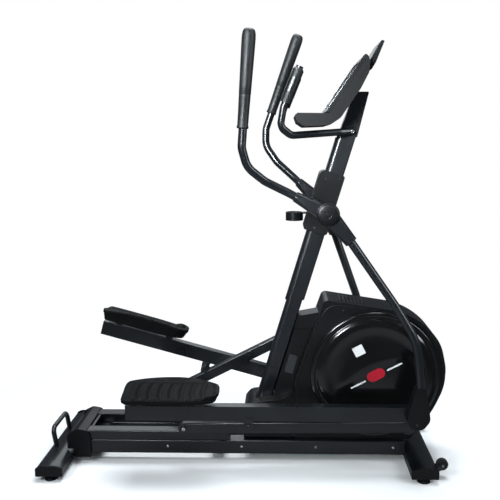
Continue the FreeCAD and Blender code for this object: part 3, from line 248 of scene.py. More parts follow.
def rubber(name, level, edge=0.0008):
    finish = Finish(name)
    skin = finish.noise(300.0, 3.0)
    chalk = finish.noise(18.0, 4.0)
    colour = finish.tint(finish.spread(chalk, 0.0, 1.0), grey(level, 1.06), grey(level * 1.7, 1.05))
    finish.surface(Base_Color=colour, Roughness=finish.spread(chalk, 0.52, 0.68), Specular_IOR_Level=0.15,
                   Normal=finish.relief(skin, 0.25, 0.0004, edge))
    return finish.material


# %% Metal and glass finishes
def metal(name, level, rough_low, rough_high, stretch=(1.0, 60.0, 1.0)):
    finish = Finish(name)
    brush = finish.noise(40.0, 3.0, stretch)
    stain = finish.noise(25.0, 3.0)
    colour = finish.tint(finish.spread(stain, 0.0, 1.0), grey(level, 1.01), grey(level * 0.8, 1.03))
    finish.surface(Base_Color=colour, Metallic=1.0, Roughness=finish.spread(brush, rough_low, rough_high),
                   Normal=finish.relief(brush, 0.05, 0.0002, 0.0006))
    return finish.material


def glass():
    finish = Finish("display_glass")
    smear = finish.noise(9.0, 4.0)
    colour = finish.tint(finish.spread(smear, 0.0, 1.0), grey(0.008, 1.15), grey(0.014, 1.2))
    finish.surface(Base_Color=colour, Roughness=finish.spread(smear, 0.06, 0.16), Coat_Weight=0.6)
    return finish.material


def ink(name, colour, roughness=0.45, glow=0.0):
    """Printed colour with a little unevenness; a glow, where given, adds a faint painted glow."""
    finish = Finish(name)
    speck = finish.noise(160.0, 3.0)
    darker = tuple(c * 0.82 for c in colour[:3]) + (1.0,)
    mixed = finish.tint(finish.spread(speck, 0.0, 1.0), colour, darker)
    finish.surface(Base_Color=mixed, Roughness=finish.spread(speck, roughness - 0.06, roughness + 0.06))
    # A faint painted glow: emission on a part that is no lamp.
    if glow:
        finish.surface(Emission_Color=mixed, Emission_Strength=glow)
    return finish.material


FINISHES = {
    "frame_paint": powder_coat(),
    "moulded_plastic": moulded("cover_plastic", 0.0034, 0.32, 0.42, 700.0),
    "disc_plastic": gloss_disc(),
    "pedal_rubber": rubber("tread_rubber", 0.0018),
    "grip_foam": foam_skin(),
    "bright_steel": metal("bright_steel", 0.62, 0.18, 0.34),
    "cast_iron": metal("cast_iron", 0.16, 0.45, 0.62, (1.0, 1.0, 1.0)),
    "belt_rubber": rubber("belt_rubber", 0.012),
    "magnet_steel": metal("magnet_steel", 0.45, 0.3, 0.45),
    "wheel_plastic": moulded("wheel_plastic", 0.012, 0.36, 0.46, 500.0),
    "console_trim": moulded("console_trim", 0.006, 0.36, 0.46, 900.0, 0.0022),
    "screen_glass": glass(),
    "key_plastic": rubber("key_rubber", 0.055),
}
DARK_BOLT = metal("dark_bolt", 0.07, 0.30, 0.42)
SILVER_TRIM = metal("silver_trim", 0.22, 0.28, 0.38, (60.0, 1.0, 1.0))
RED_INK = ink("red_ink", (0.42, 0.004, 0.02, 1.0))
WHITE_INK = ink("white_ink", (0.80, 0.80, 0.80, 1.0))
# The display is off, but its cells get a faint painted glow.
DISPLAY_CELLS_PAINTED_GLOW = ink("display_cells_painted_glow", (0.045, 0.060, 0.062, 1.0), 0.3, 0.02)

for node in nodes.values():
    for slot in node.material_slots:
        slot.material = FINISHES[slot.material.name]
for name in ("pulse_plates", "right_pedal_arm_pin", "left_pedal_arm_pin"):
    nodes[name].material_slots[0].material = DARK_BOLT
nodes["console_back"].material_slots[0].material = moulded("console_shell", 0.0022, 0.48, 0.58, 900.0)
PANEL_PLASTIC = moulded("panel_plastic", 0.022, 0.45, 0.55, 900.0)
print("finishes", len(FINISHES), "on", len(nodes), "nodes")

# %% [markdown]
# ## Placing pieces on the machine
# Each new piece is modelled lying on the world origin, with its outside facing up, and then carried to its
# place in one move. The left side is the right side mirrored and swung to where the left linkage stands,
# so two points on each side fix the move: a pin, and the next pin along.

# %% Linkage points and helpers
PIN_ARM_R, KNEE_R = (0.017797, 0.213272), (0.700, 0.262)
PIN_ARM_L, KNEE_L = (-0.199274, 0.330846), (0.470694, 0.193304)
ROLLER_R, ROLLER_L = (-0.253327, 0.1764), (-0.425138, 0.1764)
PIVOT = (0.330, 1.080)
CRANK = (0.543, 0.395)
CRANK_PIN_R = (0.680620, 0.186288)
RIGHT_POINTS = {"arm": (PIN_ARM_R, KNEE_R), "swing": (PIVOT, KNEE_R), "link": (ROLLER_R, PIN_ARM_R)}
LEFT_POINTS = {"arm": (PIN_ARM_L, KNEE_L), "swing": (PIVOT, KNEE_L), "link": (ROLLER_L, PIN_ARM_L)}
MIRROR = Matrix.Diagonal((1, -1, 1, 1))


def bearing(start, end):
    return math.atan2(end[1] - start[1], end[0] - start[0])


def left_move(group):
    """Mirror in Y, then swing and carry to the left linkage's place."""
    if group not in RIGHT_POINTS:
        return MIRROR
    a, b = RIGHT_POINTS[group]
    c, d = LEFT_POINTS[group]
    turn = bearing(c, d) - bearing(a, b)
    back = Matrix.Translation((-a[0], 0, -a[1]))
    out = Matrix.Translation((c[0], 0, c[1]))
    return out @ Matrix.Rotation(-turn, 4, "Y") @ back @ MIRROR


def deselect():
    if bpy.context.mode != "OBJECT":
        bpy.ops.object.mode_set(mode="OBJECT")
    bpy.ops.object.select_all(action="DESELECT")


def choose(piece):
    deselect()
    piece.select_set(True)
    bpy.context.view_layer.objects.active = piece


def carry(piece, place, out=(0, 0, 1)):
    """Moves a piece so that its up side faces the direction out, with the move kept in its mesh."""
    turn = Vector((0, 0, 1)).rotation_difference(Vector(out).normalized()).to_matrix().to_4x4()
    piece.data.transform(Matrix.Translation(place) @ turn)
    return piece


def bevel(piece, width, segments=2, angle=35):
    choose(piece)
    modifier = piece.modifiers.new("rounded", "BEVEL")
    modifier.width = width
    modifier.segments = segments
    modifier.limit_method = "ANGLE"
    modifier.angle_limit = math.radians(angle)
    bpy.ops.object.modifier_apply(modifier=modifier.name)
    return piece


def outward(piece):
    choose(piece)
    bpy.ops.object.mode_set(mode="EDIT")
    bpy.ops.mesh.select_all(action="SELECT")
    bpy.ops.mesh.remove_doubles(threshold=0.00002)
    bpy.ops.mesh.normals_make_consistent(inside=False)
    bpy.ops.object.mode_set(mode="OBJECT")
    return piece


def hand_over(piece, body, slot, material=None, angle=35):
    """Smooths a finished piece, gives it its finish and hangs it on its body."""
    choose(piece)
    bpy.ops.object.shade_smooth_by_angle(angle=math.radians(angle))
    piece.data.materials.clear()
    piece.data.materials.append(material or FINISHES[slot])
    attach(piece, body)
    return piece


def turned(name, steps, sides=48):
    """A lathe-turned solid along Z: each step is a radius and a height."""
    deselect()
    bpy.ops.mesh.primitive_circle_add(vertices=sides, radius=steps[0][0], fill_type="NGON",
                                      location=(0, 0, steps[0][1]))
    piece = bpy.context.object
    piece.name = name
    bpy.ops.object.transform_apply(location=True, rotation=True, scale=True)
    bpy.ops.object.mode_set(mode="EDIT")
    bpy.ops.mesh.select_all(action="SELECT")
    for (r0, h0), (r1, h1) in zip(steps, steps[1:]):
        bpy.ops.mesh.extrude_region_move(TRANSFORM_OT_translate={"value": (0, 0, h1 - h0)})
        bpy.ops.transform.resize(value=(r1 / r0, r1 / r0, 1))
    return outward(piece)


def slab(name, width, depth, height, corner=0.0, segments=4):
    """A block with its underside on Z = 0 and, if wanted, rounded upright edges."""
    deselect()
    bpy.ops.mesh.primitive_cube_add(size=1, location=(0, 0, height / 2), scale=(width, depth, height))
    piece = bpy.context.object
    piece.name = name
    bpy.ops.object.transform_apply(location=True, rotation=True, scale=True)
    if corner:
        bpy.ops.object.mode_set(mode="EDIT")
        bpy.ops.mesh.select_all(action="DESELECT")
        bpy.ops.mesh.select_mode(type="EDGE")
        bpy.ops.object.mode_set(mode="OBJECT")
        for edge in piece.data.edges:
            a, b = (piece.data.vertices[i].co for i in edge.vertices)
            edge.select = abs(a.z - b.z) > height / 2
        bpy.ops.object.mode_set(mode="EDIT")
        bpy.ops.mesh.bevel(offset=corner, segments=segments, affect="EDGES")
        bpy.ops.object.mode_set(mode="OBJECT")
    return piece


def joined(name, pieces):
    """Several pieces made one."""
    choose(pieces[0])
    for piece in pieces[1:]:
        piece.select_set(True)
    bpy.ops.object.join()
    pieces[0].name = name
    return pieces[0]


def mirrored(piece, name, group):
    """The left-hand copy of a finished right-hand mesh."""
    twin = piece.copy()
    twin.data = piece.data.copy()
    twin.name = name
    bpy.context.scene.collection.objects.link(twin)
    twin.parent = None
    twin.data.transform(left_move(group))
    twin.data.flip_normals()
    return twin


def both_sides(piece, name, group, bodies, slot, material=None, angle=35):
    """Hands over the right piece and its left twin."""
    piece.name = "right_" + name
    twin = mirrored(piece, "left_" + name, group)
    hand_over(piece, bodies[0], slot, material, angle)
    hand_over(twin, bodies[1], slot, material, angle)
    return piece, twin


# %% [markdown]
# ## Bolts
# Every joint of the frame is closed by a button-head screw with a hexagon socket. One head is turned, its
# socket is cut with a six-sided bar, and copies of it go everywhere.


# %% One screw head
def cut_away(piece, tool):
    """Takes a tool's shape out of a piece and throws the tool away."""
    cut = piece.modifiers.new("cut", "BOOLEAN")
    cut.operation = "DIFFERENCE"
    cut.object = tool
    choose(piece)
    bpy.ops.object.modifier_apply(modifier=cut.name)
    bpy.data.objects.remove(tool)
    return piece


def screw_head(name, radius, height):
    head = turned(name, [(radius, 0), (radius, height * 0.45), (radius * 0.93, height * 0.75),
                         (radius * 0.74, height)], 32)
    deselect()
    bpy.ops.mesh.primitive_cylinder_add(vertices=6, radius=radius * 0.48, depth=height * 1.3,
                                        location=(0, 0, height))
    return bevel(cut_away(head, bpy.context.object), radius * 0.05, 1, 50)


def screws(name, spots, radius=0.0055, height=0.0035):
    """One joined set of heads; each spot is a place and the direction its head faces."""
    heads = []
    first = screw_head(name, radius, height)
    for i, (place, out) in enumerate(spots):
        head = first if i == len(spots) - 1 else first.copy()
        if head is not first:
            head.data = first.data.copy()
            bpy.context.scene.collection.objects.link(head)
        carry(head, place, out)
        heads.append(head)
    return joined(name, heads)


RIGHT_OUT, LEFT_OUT = (0, -1, 0), (0, 1, 0)
BEAM_SIDE, MAST_SIDE, HOUSING_SIDE = 0.111, 0.028, 0.088
SMALL_HEAD = (0.0042, 0.0022)


def two_sided(points, side):
    return [((x, -side, z), RIGHT_OUT) for x, z in points] + [((x, side, z), LEFT_OUT) for x, z in points]


def along_mast(z, ahead):
    """A place beside the leaning mast, from its height and how far it is ahead of the centreline."""
    return (0.0296 + 0.3 * (z - 0.102) + ahead, z)


BEAM_SPOTS = [(x, 0.075) for x in (-0.33, -0.016, 0.299, 0.627)]
MAST_SPOTS = [along_mast(0.598, -0.016), along_mast(0.404, -0.004)]
HOUSING_SPOTS = [(0.409, 0.668), (0.352, 0.560), (0.30, 0.30), (0.26, 0.14), (0.52, 0.118)]
hand_over(screws("beam_screws", two_sided(BEAM_SPOTS, BEAM_SIDE)), "root", "bright_steel")
hand_over(screws("mast_foot_screws", two_sided(MAST_SPOTS, MAST_SIDE), 0.006, 0.0035),
          "root", "bright_steel", DARK_BOLT)
hand_over(screws("housing_screws", two_sided(HOUSING_SPOTS, HOUSING_SIDE), *SMALL_HEAD),
          "root", "bright_steel", DARK_BOLT)
print("frame screws placed")

# %% [markdown]
# ## Pedals
# A pedal is one moulding: a tread that climbs towards the inner side, a low outer rim, a tall inner wall,
# rounded ribs across it and a row of drain slots along the outer edge. A grid is the natural start, since
# all of that is height over a plan. The edge is then extruded down into a skirt, and the bottom is filled.

# %% Pedal tread and skirt
PEDAL_LOW, PEDAL_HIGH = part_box("right_pedal")
PEDAL_MID = (PEDAL_LOW + PEDAL_HIGH) / 2
HALF_LONG = (PEDAL_HIGH.x - PEDAL_LOW.x) / 2 - 0.0015
HALF_WIDE = (PEDAL_HIGH.y - PEDAL_LOW.y) / 2 - 0.0015
INNER_RIM = PEDAL_HIGH.z - PEDAL_LOW.z - 0.001
OUTER_RIM = 0.0215
RIBS, SLOTS = 9, 8


def ease(value, start, end):
    """0 before start, 1 after end, with a smooth ramp between them."""
    share = min(1.0, max(0.0, (value - start) / (end - start)))
    return share * share * (3 - 2 * share)


def pedal_height(along, across):
    """Height of the tread over the pedal's underside; along runs to the toe, across to the inner side."""
    inner = (across + 1) / 2
    floor = 0.0165 + 0.030 * inner ** 1.25
    ribs = 0.5 + 0.5 * math.cos(math.pi * RIBS * (along - 0.10 * across * across))
    on_tread = (1 - ease(abs(along), 0.74, 0.86)) * (1 - ease(abs(across), 0.62, 0.80))
    floor += 0.0050 * ribs ** 2 * on_tread
    step = (along + 0.80) / 1.52 * SLOTS
    in_step = abs(step % 1 - 0.5) * 2
    if 0 < step < SLOTS and -0.86 < across < -0.74 and in_step < 0.72:
        floor -= 0.0105
    arch = 1 - 0.42 * along * along
    rim = OUTER_RIM + (INNER_RIM - OUTER_RIM) * ease(inner, 0.15, 0.95) * arch
    rim = max(rim, 0.034 * ease(along, 0.45, 0.97))
    wall = max(ease(abs(along), 0.86, 0.97), ease(abs(across), 0.88, 0.97))
    return floor + (rim - floor) * wall


def pedal_plan(along, across):
    """Place in plan: the square grid drawn in to a rounded outline, rounder at the toe."""
    draw = 0.10 + 0.16 * ease(along, -0.4, 1.0)
    x = along * math.sqrt(1 - draw * across ** 4)
    toe = 1 - 0.12 * ease(along, 0.1, 1.0)
    y = across * math.sqrt(1 - 1.15 * draw * along ** 6) * toe
    return x * HALF_LONG, y * HALF_WIDE


deselect()
bpy.ops.mesh.primitive_grid_add(x_subdivisions=150, y_subdivisions=60, size=2)
pedal = bpy.context.object
pedal.name = "right_pedal_moulding"
for vertex in pedal.data.vertices:
    along, across = vertex.co.x, vertex.co.y
    x, y = pedal_plan(along, across)
    vertex.co = (x, y, pedal_height(along, across))
bpy.ops.object.mode_set(mode="EDIT")
bpy.ops.mesh.select_mode(type="EDGE")
bpy.ops.mesh.select_all(action="DESELECT")
bpy.ops.mesh.select_non_manifold()
for drop, shrink in ((-0.0012, 1.006), (-0.0020, 1.003), (-0.0080, 0.998), (-0.0016, 0.988)):
    bpy.ops.mesh.extrude_edges_move(TRANSFORM_OT_translate={"value": (0, 0, drop)})
    bpy.ops.transform.resize(value=(shrink, shrink, 1))
bpy.ops.mesh.extrude_edges_move(TRANSFORM_OT_translate={"value": (0, 0, 0)})
bpy.ops.transform.resize(value=(0.95, 0.93, 0))
bpy.ops.object.mode_set(mode="OBJECT")
for vertex in pedal.data.vertices:
    if vertex.select:
        vertex.co.z = 0.0
bpy.ops.object.mode_set(mode="EDIT")
bpy.ops.mesh.edge_face_add()
outward(pedal)
carry(pedal, (PEDAL_MID.x, PEDAL_MID.y, PEDAL_LOW.z))
BOTH_ARMS = ("right_arm", "left_arm")


def replacing(pair, nodes_replaced):
    """Hides the fixed node that each of two handed-over pieces stands in for."""
    for piece, node in zip(pair, nodes_replaced):
        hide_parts(node)


replacing(both_sides(pedal, "pedal_moulding", "arm", BOTH_ARMS, "pedal_rubber", None, 60),
          ("right_pedal", "left_pedal"))
print("pedal faces", len(pedal.data.polygons))

# %% [markdown]
# ## Crank discs
# Each disc is a dished wheel cover: a crowned rim, a shadow groove, a rolled ring, and a shallow bowl with a
# soft wave across it. Turning gives the rings. The wave is pressed into the bowl afterwards, because it
# doesn't follow the circle.

# %% Disc cover
DISC_RADIUS = 0.270
DISC_PROFILE = [(0.258, 0.0), (0.2685, 0.002), (DISC_RADIUS, 0.006), (DISC_RADIUS, 0.014), (0.2685, 0.0175),
                (0.2650, 0.0195), (0.2590, 0.0205), (0.2540, 0.0200), (0.2510, 0.0180), (0.2495, 0.0150),
                (0.2470, 0.0140), (0.2440, 0.0150), (0.2400, 0.0185), (0.2340, 0.0215), (0.2260, 0.0232),
                (0.2160, 0.0237), (0.2060, 0.0230), (0.1980, 0.0210), (0.1900, 0.0182), (0.1800, 0.0158),
                (0.1680, 0.0146), (0.1540, 0.0140), (0.1400, 0.0138), (0.1250, 0.0140), (0.1100, 0.0143),
                (0.0950, 0.0147), (0.0800, 0.0151), (0.0650, 0.0155), (0.0500, 0.0158), (0.0350, 0.0160),
                (0.0200, 0.0162), (0.0080, 0.0162)]
WAVE_TILT = math.radians(28)
WAVE_HEIGHT, WAVE_WIDTH, BOWL_EDGE = 0.0060, 0.028, 0.19
WAVE_BOW, WAVE_LONG, WAVE_UP = 0.045, 0.34, 0.012
DISC_BACK, PIN_BOSS_OUT = 0.092, 0.1148


def bowl(reach):
    """Height of the turned face at a distance from the middle."""
    face = [step for step in DISC_PROFILE if step[1] > 0.013][::-1]
    for (r0, h0), (r1, h1) in zip(face, face[1:]):
        if r0 <= reach <= r1:
            return h0 + (h1 - h0) * (reach - r0) / (r1 - r0)
    return face[0][1]


def wave(x, y):
    """The soft lens-shaped swelling across the bowl."""
    along = x * math.cos(WAVE_TILT) + y * math.sin(WAVE_TILT)
    across = y * math.cos(WAVE_TILT) - x * math.sin(WAVE_TILT)
    bowed = across - WAVE_BOW * math.cos(math.pi * along / WAVE_LONG) - WAVE_UP
    fade = ease(BOWL_EDGE - math.hypot(x, y), 0.0, 0.07)
    return WAVE_HEIGHT * math.exp(-(bowed / WAVE_WIDTH) ** 2) * fade


disc = turned("right_disc_cover", DISC_PROFILE, 144)
for vertex in disc.data.vertices:
    if math.hypot(vertex.co.x, vertex.co.y) < BOWL_EDGE and vertex.co.z > 0.012:
        vertex.co.z += wave(vertex.co.x, vertex.co.y)
face_turn = Matrix(((1, 0, 0, CRANK[0]), (0, 0, -1, -DISC_BACK), (0, 1, 0, CRANK[1]), (0, 0, 0, 1)))
disc.data.transform(face_turn)
outward(disc)
boss = turned("pin_boss", [(0.026, 0), (0.026, 0.0025), (0.0245, 0.0036), (0.012, 0.0036)], 48)
carry(boss, (CRANK_PIN_R[0], -PIN_BOSS_OUT, CRANK_PIN_R[1]), RIGHT_OUT)
disc = joined("right_disc_cover", [disc, boss])
left_disc = mirrored(disc, "left_disc_cover", "none")
left_disc.data.transform(Matrix.Translation((CRANK[0], 0, CRANK[1])) @ Matrix.Rotation(math.pi, 4, "Y")
                         @ Matrix.Translation((-CRANK[0], 0, -CRANK[1])))
for cover, node in ((disc, "right_crank_disc"), (left_disc, "left_crank_disc")):
    hand_over(cover, "crank", "disc_plastic", None, 50)
    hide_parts(node)
print("disc faces", len(disc.data.polygons))

# %% [markdown]
# The disc carries a small plain badge: a red lozenge between two white strips, and a blank pale label. They
# are thin slabs laid a hair above the bowl.

# %% Badge
def badge_piece(name, length, width, middle, material, corner=0.49):
    """A thin slab bent on to the bowl; middle is its place along and across the badge line."""
    piece = slab(name, length, width, 0.0008, min(length, width) * corner, 5)
    bpy.ops.object.mode_set(mode="EDIT")
    bpy.ops.mesh.select_all(action="SELECT")
    bpy.ops.mesh.subdivide(number_cuts=8)
    bpy.ops.object.mode_set(mode="OBJECT")
    piece.data.transform(Matrix.Translation((*middle, 0)))
    piece.data.transform(Matrix.Rotation(WAVE_TILT, 4, "Z"))
    for vertex in piece.data.vertices:
        x, y = vertex.co.x, vertex.co.y
        vertex.co.z += bowl(math.hypot(x, y)) + wave(x, y) - 0.0002
    piece.data.transform(face_turn)
    outward(piece)
    twin = mirrored(piece, name.replace("right", "left"), "none")
    hand_over(piece, "crank", "disc_plastic", material)
    hand_over(twin, "crank", "disc_plastic", material)


badge_piece("right_badge_lozenge", 0.078, 0.046, (0.004, 0.000), RED_INK)
badge_piece("right_badge_rear_strip", 0.070, 0.0070, (-0.080, -0.004), WHITE_INK)
badge_piece("right_badge_front_strip", 0.070, 0.0070, (0.088, -0.004), WHITE_INK)
badge_piece("right_blank_label", 0.044, 0.042, (-0.012, 0.126), WHITE_INK, 0.04)

# %% [markdown]
# ## Grips
# The moving grips are long foam sleeves, pulled over the bar ends: a rolled lip at the foot, a joint a third
# of the way up, and a rounded crown. Turning a profile gives all three.

# %% Moving grips
GRIP_FOOT = (0.007, -0.250, 1.402)
GRIP_LEAN = (27.5, 0, 356)
GRIP_PROFILE = [(0.0180, 0.0), (0.0212, 0.0008), (0.0222, 0.0040), (0.0216, 0.0085), (0.0204, 0.0130),
                (0.0208, 0.0600), (0.0219, 0.1160), (0.0222, 0.1195), (0.0212, 0.1215), (0.0223, 0.1240),
                (0.0230, 0.1600), (0.0243, 0.2300), (0.0254, 0.2900), (0.0257, 0.3200), (0.0252, 0.3340),
                (0.0232, 0.3450), (0.0198, 0.3520), (0.0140, 0.3555), (0.0050, 0.3565)]
grip = turned("right_foam_sleeve", GRIP_PROFILE, 48)
carry(grip, GRIP_FOOT, GRIP_LEAN)
BOTH_SWINGS = ("right_swing", "left_swing")
replacing(both_sides(grip, "foam_sleeve", "swing", BOTH_SWINGS, "grip_foam", None, 60),
          ("right_grip", "left_grip"))

# %% [markdown]
# ## Pins and covers of the linkage
# Each moving joint ends in a head that a key can reach. The swing axle has a domed cover with a button in
# its middle, the roller axles show bright screws, and the arm pins and knee covers show dark ones.

# %% Linkage heads
dome = turned("axle_dome", [(0.0420, 0.0), (0.0420, 0.0012), (0.0400, 0.0030), (0.0340, 0.0048),
                            (0.0240, 0.0062), (0.0140, 0.0068), (0.0130, 0.0060), (0.0115, 0.0060),
                            (0.0105, 0.0072), (0.0040, 0.0076)], 64)
DOME_SIDE = 0.2279
carry(dome, (PIVOT[0], -DOME_SIDE, PIVOT[1]), RIGHT_OUT)
BOTH_LINKS = ("right_link", "left_link")
both_sides(dome, "axle_dome", "swing", BOTH_SWINGS, "moulded_plastic", None, 40)
for name, point, outer, radius, group, bodies, steel in (
        ("roller_axle_head", ROLLER_R, 0.1629, 0.0085, "link", BOTH_LINKS, None),
        ("arm_pin_head", PIN_ARM_R, 0.2139, 0.0080, "arm", BOTH_ARMS, DARK_BOLT),
        ("knee_cover_head", (0.694, 0.240), 0.2479, 0.0060, "swing", BOTH_SWINGS, DARK_BOLT)):
    head = screws(name, [((point[0], -outer, point[1]), RIGHT_OUT)], radius, radius * 0.55)
    both_sides(head, name, group, bodies, "bright_steel", steel)
CLAMP_SIDE, CLAMP_SPOTS = 0.0495, [(0.434, 1.394)]
SHROUD_SIDE = 0.048
SHROUD_SPOTS = [along_mast(1.005, -0.012), along_mast(1.205, -0.030), along_mast(1.205, 0.028)]
hand_over(screws("bar_clamp_heads", two_sided(CLAMP_SPOTS, CLAMP_SIDE), 0.0080, 0.0045),
          "root", "bright_steel")
hand_over(screws("shroud_heads", two_sided(SHROUD_SPOTS, SHROUD_SIDE), *SMALL_HEAD),
          "root", "bright_steel", DARK_BOLT)
print("linkage heads placed")

# %% [markdown]
# ## Transport wheels
# Two hard wheels ahead of the front foot let the machine roll when its rear is lifted. A rounded tyre and a
# recessed hub are turned in one go.

# %% Wheels
WHEEL, WHEEL_SIDE = (0.809, 0.058), 0.204
WHEEL_PROFILE = [(0.0080, 0.0010), (0.0165, 0.0010), (0.0175, 0.0), (0.0205, 0.0), (0.0230, 0.0012),
                 (0.0240, 0.0040), (0.0240, 0.0095), (0.0234, 0.0102), (0.0234, 0.0118), (0.0240, 0.0125),
                 (0.0240, 0.0180), (0.0230, 0.0208), (0.0205, 0.0220), (0.0175, 0.0220), (0.0165, 0.0205),
                 (0.0100, 0.0195), (0.0080, 0.0205)]
wheel = turned("right_tyre", WHEEL_PROFILE, 48)
carry(wheel, (WHEEL[0], -WHEEL_SIDE, WHEEL[1]), RIGHT_OUT)
replacing(both_sides(wheel, "tyre", "none", ("right_wheel", "left_wheel"), "wheel_plastic"),
          ("right_transport_wheel", "left_transport_wheel"))

# %% [markdown]
# ## Housing trim
# The two halves of the housing carry a raised bead just inside their edge, and louvres on top let the brake's
# heat out. The bead is a curve that follows the outline, turned into a mesh. A small service panel
# stands on each side ahead of the mast, turned to the mast's lean.

# %% Bead, panel and louvres
HOUSING_EDGE = [(0.2180, 0.352), (0.3330, 0.699), (0.6100, 0.657), (0.6640, 0.644), (0.7520, 0.592),
                (0.8070, 0.518), (0.8275, 0.421), (0.8250, 0.341), (0.7810, 0.239), (0.6950, 0.114),
                (0.2180, 0.114)]


def bead(name, points, out, radius):
    """A closed round bead on a side face, from its corner points."""
    data = bpy.data.curves.new(name, "CURVE")
    data.dimensions = "3D"
    data.bevel_depth = radius
    data.bevel_resolution = 2
    data.resolution_u = 6
    line = data.splines.new("NURBS")
    dense = []
    for (x0, z0), (x1, z1) in zip(points, points[1:] + points[:1]):
        dense += [(x0 + (x1 - x0) * t, z0 + (z1 - z0) * t) for t in (0.12, 0.5, 0.88)]
    line.points.add(len(dense) - 1)
    for knot, (x, z) in zip(line.points, dense):
        knot.co = (x, -out, z, 1)
    line.use_cyclic_u = True
    line.order_u = 3
    curve = bpy.data.objects.new(name, data)
    bpy.context.scene.collection.objects.link(curve)
    choose(curve)
    bpy.ops.object.convert(target="MESH")
    return outward(bpy.context.object)


panel = slab("right_service_panel", 0.082, 0.038, 0.0014, 0.004, 3)
PANEL_MIDDLE = (0.194, -0.0429, 0.420)
leaning = Vector((0.2873, 0, 0.9578))
lying = Matrix((leaning, Vector((-leaning.z, 0, leaning.x)), Vector(RIGHT_OUT))).transposed().to_4x4()
panel.data.transform(Matrix.Translation(PANEL_MIDDLE) @ lying)
BOTH_ROOT = ("root", "root")
both_sides(bevel(panel, 0.0004, 1), "service_panel", "none", BOTH_ROOT, "moulded_plastic", PANEL_PLASTIC)
BEAD_SIDE, BEAD_RADIUS = 0.0878, 0.0016
trim = bead("right_housing_bead", HOUSING_EDGE, BEAD_SIDE, BEAD_RADIUS)
both_sides(trim, "housing_bead", "none", BOTH_ROOT, "moulded_plastic")
louvres = []
TOP_REAR, TOP_SLOPE = Vector((0.400, 0.0, 0.7010)), math.atan2(-0.044, 0.283)
LOUVRES, LOUVRE_STEP, LOUVRE_SUNK = 7, 0.016, Vector((0, 0, 0.0006))
top_line = Vector((math.cos(TOP_SLOPE), 0, math.sin(TOP_SLOPE)))
for i in range(LOUVRES):
    rib = slab("louvre", 0.0060, 0.110, 0.0034, 0.0028, 3)
    rib.data.transform(Matrix.Rotation(-TOP_SLOPE, 4, "Y"))
    rib.data.transform(Matrix.Translation(TOP_REAR + top_line * LOUVRE_STEP * i - LOUVRE_SUNK))
    louvres.append(rib)
hand_over(bevel(joined("housing_louvres", louvres), 0.0008, 2), "root", "moulded_plastic")

# %% [markdown]
# ## Console
# The console tilts its face to the rider. A bezel frames the glass, a steel strip runs along each side of
# the face, and the display, which is off, shows the faint bars of a programme with a faint painted glow.
# Each piece is placed by its height on the face, its place across, and how far it stands out.

# %% Console face
FACE_LOW, FACE_HIGH = Vector((0.322, 0.0, 1.470)), Vector((0.464, 0.0, 1.680))
FACE_UP = (FACE_HIGH - FACE_LOW).normalized()
FACE_OUT = Vector((-FACE_UP.z, 0, FACE_UP.x))
FACE_LENGTH = (FACE_HIGH - FACE_LOW).length


def stands_out(node):
    """How far a node's outermost point stands out from the face line."""
    return max((v.co - FACE_LOW).dot(FACE_OUT) for v in nodes[node].data.vertices)


def on_face(piece, up, across, out):
    """Lays a piece on the face: its width runs across, its depth runs up the face."""
    turn = Matrix((Vector((0, -1, 0)), FACE_UP, FACE_OUT)).transposed().to_4x4()
    piece.data.transform(Matrix.Translation(FACE_LOW + FACE_UP * up + FACE_OUT * out
                                            + Vector((0, across, 0))) @ turn)
    return piece


TRIM_OUT, GLASS_OUT = stands_out("console_face"), stands_out("console_screen")
print("console trim out", round(TRIM_OUT, 5), "glass out", round(GLASS_OUT, 5))
SCREEN_LOW, SCREEN_HIGH = 0.27 * FACE_LENGTH, 0.90 * FACE_LENGTH
SCREEN_MID, SCREEN_TALL = (SCREEN_LOW + SCREEN_HIGH) / 2, SCREEN_HIGH - SCREEN_LOW


def frame_ring(name, width, tall, wall, height):
    """A rectangular ring with rounded corners: a slab with a window cut in it."""
    ring = slab(name, width, tall, height, 0.008, 5)
    hole = slab("hole", width - 2 * wall, tall - 2 * wall, height * 3, 0.005, 5)
    hole.data.transform(Matrix.Translation((0, 0, -height)))
    return bevel(cut_away(ring, hole), 0.0007, 2)


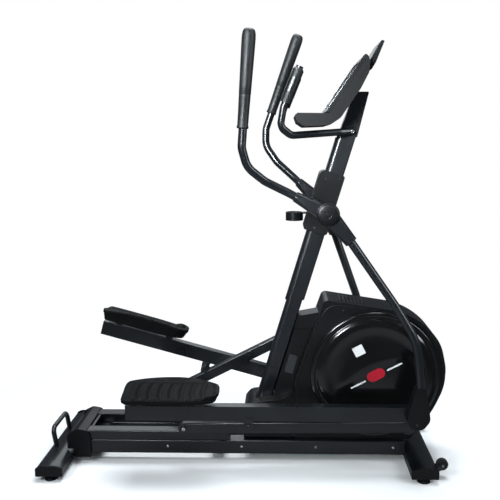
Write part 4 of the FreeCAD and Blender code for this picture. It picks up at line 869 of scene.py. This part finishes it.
bezel = frame_ring("screen_bezel", 0.250, SCREEN_TALL + 0.014, 0.008, 0.0024)
hand_over(on_face(bezel, SCREEN_MID, 0.0, TRIM_OUT - 0.0002), "root", "console_trim")
STRIP_ACROSS = 0.1630
strips = []
for side in (-1, 1):
    strip = slab("strip", 0.0050, FACE_LENGTH * 0.94, 0.0022, 0.0020, 3)
    strips.append(on_face(strip, FACE_LENGTH * 0.5, side * STRIP_ACROSS, TRIM_OUT - 0.0002))
hand_over(bevel(joined("face_strips", strips), 0.0005, 2), "root", "console_trim", SILVER_TRIM)
print("console framed")

# %% Display
bars = []
HEIGHTS = (2, 3, 5, 4, 6, 7, 5, 8, 6, 4, 5, 3)
CELL_OUT, CELL_RISE, CELL_STEP, LINE_STEP = GLASS_OUT - 0.0001, 0.0072, 0.0145, 0.048
for column, tall in enumerate(HEIGHTS):
    for row in range(tall):
        cell = slab("cell", 0.0105, 0.0052, 0.0005)
        bars.append(on_face(cell, SCREEN_LOW + 0.024 + row * CELL_RISE, 0.080 - column * CELL_STEP, CELL_OUT))
for column in range(4):
    line = slab("cell", 0.034, 0.0016, 0.0005)
    bars.append(on_face(line, SCREEN_HIGH - 0.040, 0.072 - column * LINE_STEP, CELL_OUT))
# The display cells carry a faint painted glow.
hand_over(joined("display_cells", bars), "root", "screen_glass", DISPLAY_CELLS_PAINTED_GLOW)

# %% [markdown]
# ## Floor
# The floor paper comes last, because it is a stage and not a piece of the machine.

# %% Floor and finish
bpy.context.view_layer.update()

deselect()
bpy.ops.mesh.primitive_plane_add(size=30, location=(0, 0, 0))
floor = bpy.context.object
floor.name = "studio_floor"
floor_finish = Finish("studio_paper")
paper = floor_finish.noise(2.0, 2.0)
from_middle = floor_finish.node("ShaderNodeVectorMath", {"operation": "LENGTH"}, {0: floor_finish.place}, 1)
white = floor_finish.tint(paper, (0.93, 0.93, 0.93, 1.0), (0.96, 0.96, 0.96, 1.0))
direct = floor_finish.node("ShaderNodeLightPath", output="Is Camera Ray")
FADE_START, FADE_END = 1.0, 1.7
floor_finish.surface(Base_Color=floor_finish.tint(direct, grey(0.30), white), Roughness=0.9,
                     Alpha=floor_finish.spread(from_middle, 1.0, 0.0, FADE_START, FADE_END))
floor.data.materials.append(floor_finish.material)
